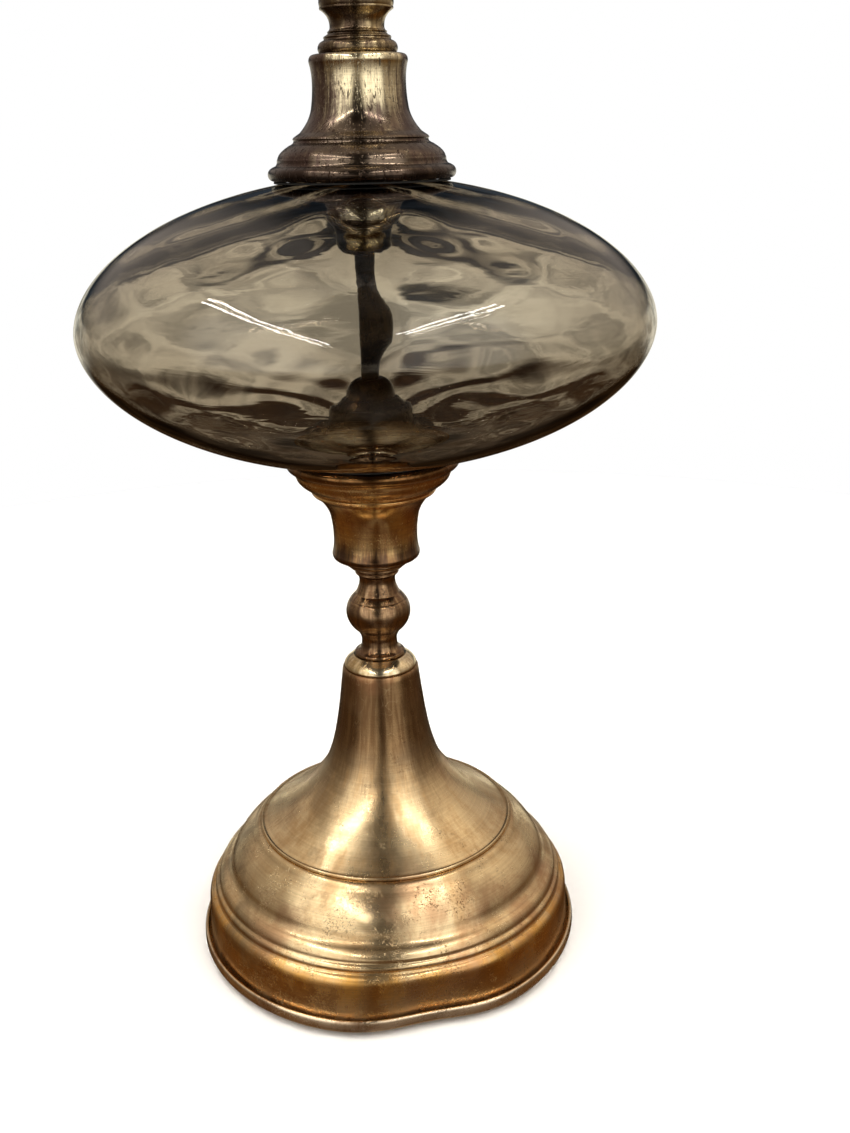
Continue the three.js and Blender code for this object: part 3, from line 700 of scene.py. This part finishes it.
def build_trumpet():
    radius, low, high = span("base_trumpet")
    top_radius = 22.2
    face = outline(
        (radius - 0.6, low), (radius + 0.3, low, radius + 0.3, low + 1.9, radius - 0.9, low + 2),
        (radius - 1.9, low + 1.5, 0.4), (61, 85.5, 44.2, 97, 34.4, 114),
        (27.4, 129.5, 25.2, 150, top_radius, high - 1), (top_radius - 0.8, high, 0.5),
        (BORE, high),
        closed=False,
        curve_steps=30,
    )
    stand_in("base_trumpet", sheet(face, SHEET), trumpet_brass, LARGE)


def build_bushing():
    low, high = box("cord_bushing")
    flange = (high.x - low.x) / 2
    depth = high.y - low.y
    bore, neck = 3.5, 4.7
    ring = outline(
        (bore, 0, 0.4), (flange, 0, 0.4), (flange, 1.6, 0.4), (neck, 1.6, 0.2),
        (neck, depth - 1.8, 0.2), (flange, depth - 1.8, 0.4), (flange - 0.8, depth, 0.9),
        (bore, depth, 0.8),
    )
    piece = turn("cord_bushing_look", ring, 64)
    lay_along(piece, (0, 1, 0), (0, low.y, (low.z + high.z) / 2))
    fit(piece, "cord_bushing", phenolic)


# ---- Column ----

BALL_RADIUS = 18.6
GASKET_HOLE = 42.8
SEAT_HEIGHT = 9
SQUAT = 0.7  # height of the lower seat ring, against the upper one's


def ball_side(ball_z, half_height, low_angle, high_angle, steps=24):
    """Points up the side of a spindle's flattened ball, between two angles in degrees."""
    angles = np.radians(np.linspace(low_angle, high_angle, steps))
    return [(BALL_RADIUS * math.cos(a), ball_z + half_height * math.sin(a)) for a in angles]


def lower_spindle(low, high):
    """Sharp-edged foot, long neck, ball with a crease line under its shoulder, neck, ring."""
    foot, neck, ball_z, half_height = 14.6, 10.2, 209.2, 15.6
    under = ball_side(ball_z, half_height, -47, 28)
    over = ball_side(ball_z, half_height, 31, 47)
    return outline(
        (BORE, low, 0.2), (foot - 0.6, low, 0.2), (foot, low + 1.4, 0.3),
        (foot - 0.5, low + 2, 0.25),
        (neck + 1.8, low + 2.4, neck + 0.3, low + 4.6, neck + 0.2, low + 6.5),
        (neck, low + 9.4, 0.4),
        (neck + 0.3, low + 12, neck + 1.4, under[0][1] - 1.6, under[0][0], under[0][1]), *under,
        (under[-1][0] - 0.5, under[-1][1] + 0.35), *over,
        (neck + 1.6, over[-1][1] + 2.4, neck, over[-1][1] + 5, neck + 0.1, high - 6.4),
        (neck + 0.2, high - 4.4, neck + 0.6, high - 3.4, neck + 1.9, high - 2.6),
        (neck + 2.4, high - 1.9, 0.3), (neck + 1.8, high - 1.2, 0.2), (neck + 2.2, high, 0.2),
        (BORE, high, 0.2),
        curve_steps=10,
    )


def upper_spindle(low, high):
    """Short neck under a flatter ball that carries a fine raised ring, then a plain neck."""
    foot, neck, ball_z, half_height = 15, 13.6, low + 14.4, 12.0
    over = ball_side(ball_z, half_height, -12, 42)
    return outline(
        (BORE, low, 0.2), (foot - 0.3, low, 0.2), (foot, low + 0.7, 0.2),
        (foot - 0.7, low + 1.2, neck, low + 1.5, neck, low + 3.2),
        (neck, low + 5.6, neck + 0.7, low + 8.2, over[0][0] - 0.7, over[0][1] - 1.4),
        (over[0][0] + 0.2, over[0][1] - 0.9, 0.15), (over[0][0] + 0.2, over[0][1] - 0.1, 0.15),
        *over, (neck + 0.8, over[-1][1] + 1.6, neck, over[-1][1] + 3.4, neck, high - 6),
        (neck, high - 4.2, neck + 0.4, high - 3, neck + 1.6, high - 2.6),
        (neck + 2.1, high - 1.9, 0.3), (neck + 1.6, high - 1.2, 0.2), (neck + 2, high, 0.2),
        (BORE, high, 0.2),
        curve_steps=8,
    )


def bell():
    """Bell from its lip at z = 0: bead, fillet, ovolo, groove, ledge, flare and shoulder; hollow."""
    return outline(
        (42.6, 0, 0.3), (46, 0, 0.5), (48.5, 0.5, 49.5, 4.2, 46.8, 6.1), (45.6, 6.8, 0.3),
        (44.2, 7.3, 0.5), (43.5, 8.6, 0.5), (43.4, 10.2, 0.2), (43, 10.9, 0.25),
        (42.6, 13.2, 39.6, 15.4, 36.7, 17.1), (35.9, 17.4, 0.2), (34.7, 18.2, 0.35),
        (34.4, 19.3, 0.3), (35, 20, 0.2), (34.2, 21, 0.35), (31.2, 22.9, 0.8),
        (29, 25.2, 25.4, 29.6, 24.7, 35), (23.8, 40, 23.5, 46, 23.8, 50),
        (24.1, 53, 24.4, 54.4, 24.8, 55.6), (25.2, 57.6, 24.4, 59.3, 22.6, 59.5), (21.8, 59.5),
        (BORE, 59.5), (BORE, 53.5), (19, 53.5, 2), (20.4, 41, 3),
        (22.5, 25, 28, 18, 36, 12), (42.6, 5, 2),
    )


def seat(wide):
    """Seat ring from its wide side at z = 0: a torus, a groove and a fine edge."""
    return outline(
        (BORE, 0, 0.2), (wide - 1.1, 0, 0.4),
        (wide + 0.6, 0.8, wide + 0.5, 4.6, wide - 2, 5.7), (wide - 3, 6.1, 0.3),
        (wide - 3.3, 6.8, 0.3), (wide - 2.9, 7.5, 0.25), (wide - 3.7, 8.2, 0.2),
        (wide - 4.6, 8.5, 0.2), (wide - 4.9, SEAT_HEIGHT, 0.2), (BORE, SEAT_HEIGHT, 0.2),
    )


GLASS_EXPONENT = 1.9
GLASS_HALF_HEIGHT = 74.8  # of the whole outline, before its poles are cut off by the holes
GLASS_WALL = 3.5  # at the widest ring
GLASS_END_WALL = 5.5  # towards the two holes
GLASS_HOLE = 25
DIMPLE_ROWS = 20  # half waves from the lower hole to the upper one
DIMPLES_ROUND = 12
DIMPLE_DEPTH = 1.2
THIN_DEPTH = 1.3  # patch where the wall thins to the right and bends the view of the pipe
THIN_RISE = 17
THIN_HEIGHT = 12
THIN_BEARINGS = (0, 2, 3.5, 5, 6.2, 12, 40)
THIN_SHARES = (0, 0.08, 0.32, 0.7, 1, 1, 0)


def globe_side(radius, half_height, steps):
    """Points up the globe's outline |r/R|^n + |z/H|^n = 1, between its two holes."""
    hole_angle = math.acos((GLASS_HOLE / radius) ** (GLASS_EXPONENT / 2))
    angles = np.linspace(-hole_angle, hole_angle, steps)
    r = radius * np.cos(angles) ** (2 / GLASS_EXPONENT)
    z = half_height * np.sign(angles) * np.abs(np.sin(angles)) ** (2 / GLASS_EXPONENT)
    return np.stack([r, z], 1)


def build_glass():
    radius, low, high = span("glass_globe")
    centre = (low + high) / 2
    outer = globe_side(radius, GLASS_HALF_HEIGHT, 120)
    inner = globe_side(radius - GLASS_WALL, GLASS_HALF_HEIGHT - GLASS_END_WALL, 120)[::-1]
    section = lifted(np.vstack([outer, inner]), centre)
    is_inner = np.arange(len(section)) >= len(outer)

    def optic(x, y, z):
        """Staggered hollows on the inner face, deepest towards the holes, and the thin patch."""
        bearing = np.arctan2(x, -y)
        height = (z - centre) / GLASS_HALF_HEIGHT
        level = np.arcsin(np.clip(height, -1, 1)) / math.pi + 0.5
        lobes = np.cos(DIMPLES_ROUND * bearing) * np.sin(math.pi * DIMPLE_ROWS * level)
        slow = np.sin(3 * bearing + 5 * height) + np.sin(5 * bearing - 7 * height + 1.3)
        fade = np.clip((1 - np.abs(height)) / 0.06, 0, 1)
        depth = DIMPLE_DEPTH * (0.1 + 0.9 * np.abs(height) ** 1.7)
        depth = depth * (1 - 0.7 * np.exp(-((bearing / 0.2) ** 2)))  # calmer before the pipe
        above = (z - centre - THIN_RISE) / THIN_HEIGHT
        thin = THIN_DEPTH * np.interp(np.degrees(bearing), THIN_BEARINGS, THIN_SHARES)
        thin = thin * np.exp(-(above**4))
        swell = is_inner * (fade * (depth * lobes + 0.1 * slow) + thin)
        reach = np.sqrt(x**2 + y**2 + (z - centre) ** 2)
        keep = 1 + swell / reach
        return x * keep, y * keep, centre + (z - centre) * keep

    stand_in("glass_globe", section, glass, 288, optic)


def build_column():
    radius, low, high = span("trumpet_collar")
    collar = outline(
        (BORE, low, 0.2), (radius - 0.2, low, 0.2), (radius, low + 0.6, 0.3),
        (radius - 0.1, low + 2.6, radius - 2.6, high - 2, radius - 5.2, high - 0.5),
        (radius - 5.9, high, 0.2), (BORE, high, 0.2),
    )
    stand_in("trumpet_collar", collar, collar_brass, LARGE)

    _, low, high = span("lower_spindle")
    lower = lower_spindle(low, high + (1 - SQUAT) * SEAT_HEIGHT)
    stand_in("lower_spindle", lower, spindle_brass)
    _, low, high = span("upper_spindle")
    stand_in("upper_spindle", upper_spindle(low, high), neck_brass)

    lower_seat = mirrored(seat(18.2) * np.array([1, SQUAT]), span("lower_seat_ring")[2])
    stand_in("lower_seat_ring", lower_seat, spindle_brass)
    stand_in("upper_seat_ring", lifted(seat(20), span("upper_seat_ring")[1]), neck_brass)
    stand_in("lower_bell", mirrored(bell(), lower_lip_z), brown_brass, LARGE)
    stand_in("upper_bell", lifted(bell(), upper_lip_z), dark_brass, LARGE)

    for node in ("lower_gasket", "upper_gasket"):
        stand_in(node, flat_ring(node, GASKET_HOLE, 0.3, 0.3), rubber, LARGE)


def build_inner_stacks():
    radius, low, high = span("lower_inner_cup")
    cup = outline(
        (radius, low), (radius, low + 15, 1),
        (radius + 0.1, high - 7.4, radius - 0.6, high - 6, radius - 3, high - 5.4),
        (radius - 4, high - 4.8, 0.5), (17, high - 2, 1), (15.4, high, 0.8), (BORE, high),
        closed=False,
    )
    stand_in("lower_inner_cup", sheet(cup, SHEET), dark_and_shaded_brass)

    radius, low, high = span("lower_inner_cap")
    cap = outline(
        (BORE, low, 0.2), (radius, low, 0.3),
        (radius, low + 5.7, radius - 2.5, high - 1.8, 7.5, high), (BORE, high, 0.2),
    )
    stand_in("lower_inner_cap", cap, dark_and_shaded_brass)

    radius, low, high = span("upper_inner_cup")
    cup = outline(
        (BORE, low, 0.2), (9, low, 0.8), (13, low + 2, radius, low + 6, radius, low + 11),
        (radius, high - 2.2, 0.3), (radius - 0.7, high - 1.7, 0.2), (radius, high - 1.2, 0.2),
        (radius, high, 0.4), (BORE, high, 0.2),
    )
    stand_in("upper_inner_cup", cup, dark_and_shaded_brass)

    finishes = {"washer": dark_and_shaded_brass, "spacer": dark_and_shaded_brass, "disc": spindle_brass}
    for kind, finish in finishes.items():
        node = "upper_inner_" + kind
        stand_in(node, flat_ring(node, BORE, 0.2, 1.2), finish)


def build_pipe():
    """Threaded lamp pipe: plain inside the globe, with a cut thread at both ends."""
    radius, low, high = span("lamp_pipe")
    pitch = 0.94
    depth = 0.45
    thread_length = 30
    turns = np.arange(0, thread_length, pitch / 4)
    plain = np.linspace(low + thread_length, high - thread_length, 12)
    z = np.concatenate([low + turns, plain, high - turns[::-1]])
    threaded = (z < low + thread_length) | (z > high - thread_length)
    wall = radius - depth * threaded * (0.5 - 0.5 * np.cos(2 * math.pi * z / pitch))
    face = np.stack([wall, z], 1)
    inside = np.array([[3.6, high], [3.6, low]])
    section = np.vstack([[[radius - depth, low]], face[1:], [[radius - depth, high]], inside])

    def helix(x, y, z):
        rise = pitch * np.arctan2(y, x) / (2 * math.pi)
        ends = (z < low + 0.6) | (z > high - 0.6)
        return x, y, np.where(ends, z, z + rise * 0.5)

    stand_in("lamp_pipe", section, dark_and_shaded_brass, 48, helix)


# ---- Lampholder ----

LINER_BORE = 17.2


def build_lampholder():
    radius, low, high = span("top_cap")
    cap = outline(
        (BORE, low, 0.2), (radius, low, 0.4),
        (radius + 0.1, low + 2.4, radius - 1.4, high - 1.2, 11, high - 0.4), (10, high, 0.3),
        (BORE, high, 0.2),
    )
    stand_in("top_cap", cap, dark_brass)
    build_nut("top_nut", holder_brass)
    build_socket_cap()
    build_socket_shell()
    build_screw_shell()
    build_socket_insides()
    build_switch()


def build_socket_cap():
    radius, low, high = span("socket_cap")
    hub_top = low + 6.5
    section = outline(
        (BORE, low, 0.3), (8, low, 0.6), (8.2, hub_top, 0.8),
        (14, hub_top + 1, radius - 1, hub_top + 5, radius, high - 7.4),
        (radius - 0.1, high - 4, 0.3), (radius, high - 3.2, 0.3), (radius, high, 0.3),
        (radius - 0.7, high, 0.2), (radius - 0.7, high - 7.2),
        (radius - 2, hub_top + 6.2, 13, hub_top + 2, 8, hub_top + 1.4),
        (BORE, hub_top + 1.4, 0.2),
    )
    piece = turn("socket_cap_look", section, SMALL)
    low, high = box("socket_set_screw")
    height = (low.z + high.z) / 2
    carve(piece, drill(1.8, 14, (-1, 0, 0), (0, 0, height), 32))
    fit(piece, "socket_cap", holder_brass)

    length = high.x - low.x
    screw = outline(
        (0, 0), (1.3, 0, 0.2), (1.5, 0.4), (1.5, length, 0.3), (0.9, length), (0.7, length - 0.8),
        (0, length - 0.9),
        closed=False,
    )
    piece = solid_turn("socket_set_screw_look", screw, 32)
    lay_along(piece, (-1, 0, 0), (high.x, 0, height))
    fit(piece, "socket_set_screw", zinc)


def stem_hole():
    low, high = box("switch_stem")
    return drill(2.4, 20, (1, 0, 0), (10, 0, (low.z + high.z) / 2))


def build_socket_shell():
    _, low, high = span("socket_shell")
    wall = 19.2
    inner = wall - 0.8
    section = outline(
        (inner, low, 0.2), (wall, low, 0.2), (wall, low + 17),
        (wall + 0.5, low + 17.6, wall + 0.5, low + 18.8, wall, low + 19.4),
        (wall, high - 3),
        (wall + 0.9, high - 3, wall + 1.5, high - 2.4, wall + 1.5, high - 1.5),
        (wall + 1.5, high - 0.6, wall + 0.9, high, wall, high),
        (inner, high, 0.2),
    )
    piece = turn("socket_shell_look", section, SMALL)
    fit(carve(piece, stem_hole()), "socket_shell", holder_brass)
    liner = flat_ring("socket_liner", LINER_BORE, 0.1, 0.1)
    piece = turn("socket_liner_look", liner, SMALL)
    fit(carve(piece, stem_hole()), "socket_liner", card)


def build_screw_shell():
    """Rolled lamp thread: the sheet's wall rises and falls round a helix."""
    radius, low, high = span("screw_shell")
    pitch = 3.6
    z = np.linspace(low, high, 90)
    ease = np.clip(np.minimum(z - low - 2, high - z - 1.5) / 1.5, 0, 1)
    face = np.stack([np.full_like(z, radius), z], 1)
    section = np.vstack([face, (face - np.array([0.7, 0]))[::-1]])
    ease = np.concatenate([ease, ease[::-1]])

    def rolled(x, y, z):
        wave = 0.5 + 0.5 * np.cos(2 * math.pi * z / pitch - np.arctan2(y, x))
        keep = 1 - 0.6 * ease * wave / radius
        return x * keep, y * keep, z

    stand_in("screw_shell", section, aluminium, SMALL, rolled)


def build_socket_insides():
    for node, finish in (("socket_body", phenolic), ("centre_contact", holder_brass)):
        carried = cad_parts[node]
        carried.data.materials.clear()
        carried.data.materials.append(finish)
    for node, side in (("terminal_screw_left", -1), ("terminal_screw_right", 1)):
        low, high = box(node)
        head = outline(
            (0, 0), (1.4, 0, 0.2), (1.6, 0.5), (1.6, 3.4), (3.6, 3.4, 0.2), (3.5, 4.6, 0.6), (0, 5.4),
            closed=False,
        )
        piece = solid_turn(node + "_look", head, 48)
        slot = slot_cutter(8, 0.8, 1.2)
        slot.data.transform(Matrix.Translation(Vector((0, 0, 5.3 * MM))))
        carve(piece, slot)
        start = high.y if side < 0 else low.y
        lay_along(piece, (0, side, 0), (0, start, (low.z + high.z) / 2))
        fit(piece, node, holder_brass)


def slot_cutter(length, width, depth):
    """Block about the origin that cuts a screwdriver slot, in millimetres."""
    x, y, z = length / 2 * MM, width / 2 * MM, depth / 2 * MM
    corners = [(i, j, k) for i in (-x, x) for j in (-y, y) for k in (-z, z)]
    faces = [(0, 1, 3, 2), (4, 6, 7, 5), (0, 4, 5, 1), (2, 3, 7, 6), (0, 2, 6, 4), (1, 5, 7, 3)]
    return mesh_object("slot", corners, faces)


def build_switch():
    low, high = box("switch_stem")
    axis_z = (low.z + high.z) / 2
    length = high.x - low.x
    rod = outline((0, 0), (1.6, 0, 0.3), (1.6, length, 0.3), (0, length), closed=False)
    piece = solid_turn("switch_stem_look", rod, 48)
    lay_along(piece, (1, 0, 0), (low.x, 0, axis_z))
    fit(piece, "switch_stem", holder_brass, "switch")

    low, high = box("switch_knob")
    wing = (high.z - low.z) / 2
    piece = knob("switch_knob_look", low.x, high.x, wing)
    piece.data.transform(Matrix.Translation(Vector((0, 0, axis_z * MM))))
    fit(piece, "switch_knob", phenolic, "switch")


def knob(name, start, end, wing):
    """Moulded turn knob along X: a round collar that spreads into two ribbed finger wings."""
    across, sections = 72, 60
    stem, bore_depth, collar = 1.9, 3.7, 4.2
    angles = np.arange(across) * (2 * math.pi / across)
    rings = []
    for t in np.linspace(0, 1, sections):
        x = start + (end - start) * t
        spread = 0.5 - 0.5 * math.cos(math.pi * np.clip((t - 0.2) / 0.45, 0, 1))
        wide = collar + (wing - collar) * spread
        thin = collar - 2.0 * spread + 0.12 * math.cos(2 * math.pi * t * 9) * spread
        close = math.sqrt(max(1 - max((t - 0.9) / 0.1, 0) ** 2, 0))
        power = 2 / (2 + 1.2 * spread)
        y = thin * close * np.sign(np.cos(angles)) * np.abs(np.cos(angles)) ** power
        tall = wide * (0.86 + 0.14 * close)
        z = tall * np.sign(np.sin(angles)) * np.abs(np.sin(angles)) ** power
        rings.append(np.stack([np.full(across, x), y, z], 1))
    bore = np.stack([np.zeros(across), stem * np.cos(angles), stem * np.sin(angles)], 1)
    rings.insert(0, bore + np.array([start, 0, 0]))
    rings.insert(0, bore + np.array([start + bore_depth, 0, 0]))
    vertices = np.vstack(rings) * MM
    faces = [tuple(range(across))]
    for i in range(len(rings) - 1):
        for j in range(across):
            k = (j + 1) % across
            faces.append((i * across + j, (i + 1) * across + j, (i + 1) * across + k, i * across + k))
    last = (len(rings) - 1) * across
    faces.append(tuple(last + j for j in reversed(range(across))))
    return mesh_object(name, vertices, [tuple(reversed(face)) for face in faces])


# ---- Studio ----

LENS = 38.7643  # millimetres, on a sensor 36 mm high
CAMERA_PLACE = Vector((0, -0.6607, 0.4654))
CAMERA_YAW = 2.394  # degrees that the camera looks to the right of the lamp's axis
CAMERA_PITCH = 19.244  # degrees that it looks down
CAMERA_ROLL = -1.321


def build_camera():
    camera = bpy.data.cameras.new("camera")
    camera.sensor_fit = "VERTICAL"
    camera.sensor_height = 36
    camera.lens = LENS
    camera.clip_start = 0.01
    eye = placed("camera", camera)
    yaw, pitch, roll = (math.radians(a) for a in (CAMERA_YAW, CAMERA_PITCH, CAMERA_ROLL))
    look = Matrix.Rotation(-yaw, 4, "Z") @ Matrix.Rotation(math.pi / 2 - pitch, 4, "X")
    eye.matrix_world = Matrix.Translation(CAMERA_PLACE) @ look @ Matrix.Rotation(roll, 4, "Z")
    bpy.context.scene.camera = eye


def build_floor():
    """Pale round table top that the metal and the glass don't mirror."""
    rim = outline((0, -30), (1100, -30), (1100, -0.2), (0, -0.2), closed=False)
    floor = solid_turn("floor", rim, 128)
    floor.data.materials.append(painted_floor("floor"))
    floor.visible_glossy = False
    floor.visible_transmission = False
    return floor


TUBE_WIDTH = 0.045


def tube_light(name, start, end, power):
    """Strip light from start to end, shining down, like a row of fluorescent tubes."""
    start, end = Vector(start), Vector(end)
    light = bpy.data.lights.new(name, "AREA")
    light.shape = "RECTANGLE"
    light.size = (end - start).length
    light.size_y = TUBE_WIDTH
    light.energy = power
    light.color = (1.0, 0.97, 0.92)
    lamp = placed(name, light)
    along = math.atan2(end.y - start.y, end.x - start.x)
    lamp.matrix_world = Matrix.Translation((start + end) / 2) @ Matrix.Rotation(along, 4, "Z")


def build_lights(floor):
    """Two pairs of tubes overhead, one to each side, and a soft box that lights only the floor."""
    height = 2.2
    for i, shift in enumerate((-0.07, 0.07)):
        tube_light(f"tube_left_{i}", (-0.88 + shift, -2.9, height), (-1.5 + shift, 0.2, height), 11)
        tube_light(f"tube_right_{i}", (0.5 + shift, -2.1, height), (1.4 + shift, -0.4, height), 7)
    soft = bpy.data.lights.new("soft_box", "AREA")
    soft.shape = "DISK"
    soft.size = 3.0
    soft.energy = 80
    soft_box = placed("soft_box", soft)
    soft_box.location = (0, 0.3, 2.8)
    receivers = bpy.data.collections.new("soft_box_receivers")
    receivers.objects.link(floor)
    soft_box.light_linking.receiver_collection = receivers


def build_world():
    """White backdrop for the camera, a room with two windows for the brass, a wall for the glass.

    bearing is in degrees to the right of the front, rise in degrees above the horizon.
    """
    world = bpy.data.worlds.new("studio")
    n = Nodes(world)
    direction = n.add("TexCoord").outputs["Generated"]
    axes = n.add("SeparateXYZ", {0: direction})
    degrees = 180 / math.pi
    bearing = n.times(n.math("ARCTAN2", axes.outputs[0], n.times(axes.outputs[1], -1)), degrees)
    rise = n.times(n.math("ARCSINE", axes.outputs[2]), degrees)
    aside = n.absolute(bearing)
    front = n.ramp(
        rise,
        (-90, (0.08, 0.045, 0.022)), (-40, (0.08, 0.038, 0.012)),
        (-24, (0.085, 0.04, 0.012)), (-14, (0.10, 0.07, 0.04)),
        (-3, (0.17, 0.14, 0.11)), (30, (0.29, 0.25, 0.205)),
        (60, (0.23, 0.19, 0.15)), (90, (0.14, 0.115, 0.09)),
    )
    behind = n.ramp(
        rise,
        (-90, (0.60, 0.48, 0.34)), (-55, (0.32, 0.22, 0.13)),
        (-34, (0.030, 0.014, 0.005)), (-17, (0.055, 0.027, 0.010)),
        (-12.5, (0.90, 0.84, 0.68)), (0.5, (1.05, 1.0, 0.82)),
        (3, (0.045, 0.056, 0.068)), (30, (0.04, 0.052, 0.066)),
        (90, (0.16, 0.16, 0.155)),
    )
    # The room in front brightens to the sides, and a dark gap leans up through its middle.
    sides = n.steps(aside, 20, 90, 1, 1.5)
    gap = n.sum(n.absolute(n.sum(bearing, 3)), n.times(rise, -0.25))
    gap = n.steps(gap, 4, 15, 0.8, 0)
    gap = n.times(gap, n.steps(rise, -2, 8), n.steps(rise, 60, 75, 1, 0))
    sides = n.times(sides, n.minus(1, gap))
    room = n.scaled(front, sides)
    # Lit ceiling at the sides, and a lighter wall to the right.
    glow = n.times(n.steps(aside, 62, 112), n.steps(rise, 22, 50), 0.6)
    room = n.mix(glow, room, (0.95, 0.83, 0.66))
    right = n.sum(1, n.times(n.steps(bearing, 45, 100, 0, 0.6), n.steps(rise, -5, 15)))
    room = n.scaled(room, right)
    # Blotched wall behind the lamp, paler to both sides.
    blotch = n.steps(n.noise(direction, 9, 3, 0.55, 0.6), 0.36, 0.66, 0.42, 1.1)
    behind = n.scaled(behind, blotch)
    room = n.mix(n.steps(aside, 125, 150), room, behind)
    beside = n.times(n.steps(aside, 112, 128), n.steps(aside, 158, 172, 1, 0))
    room = n.mix(n.times(beside, n.steps(rise, 4, 15), 0.85), room, (0.56, 0.48, 0.41))
    # Two windows that fade and narrow towards the floor.
    fade = n.times(n.steps(rise, -16, -2, 0.06, 1.0), n.steps(rise, 42, 60, 1.0, 0.2))
    narrow = n.steps(rise, -22, -6, 1.9, 1.0)
    for centre, lean in ((-38, -0.5), (32, 0.2)):
        middle = n.sum(n.times(rise, lean), centre)
        away = n.times(n.absolute(n.minus(bearing, middle)), narrow)
        room = n.mix(n.times(n.steps(away, 15, 34, 1, 0), fade), room, (1.4, 1.34, 1.24))
    rays = n.add("LightPath")
    room = n.mix(rays.outputs["Is Transmission Ray"], room, behind)
    lit = n.add("Background", {0: room})
    backdrop = n.add("Background", {0: (1, 1, 1, 1)})
    seen = rays.outputs["Is Camera Ray"]
    chooser = n.add("MixShader", {0: seen, 1: lit.outputs[0], 2: backdrop.outputs[0]})
    n.add("OutputWorld", {0: chooser.outputs[0]})
    bpy.context.scene.world = world
    bpy.context.scene.view_settings.view_transform = "Standard"


build_base()
build_column()
build_glass()
build_inner_stacks()
build_pipe()
build_lampholder()
build_camera()
build_lights(build_floor())
build_world()
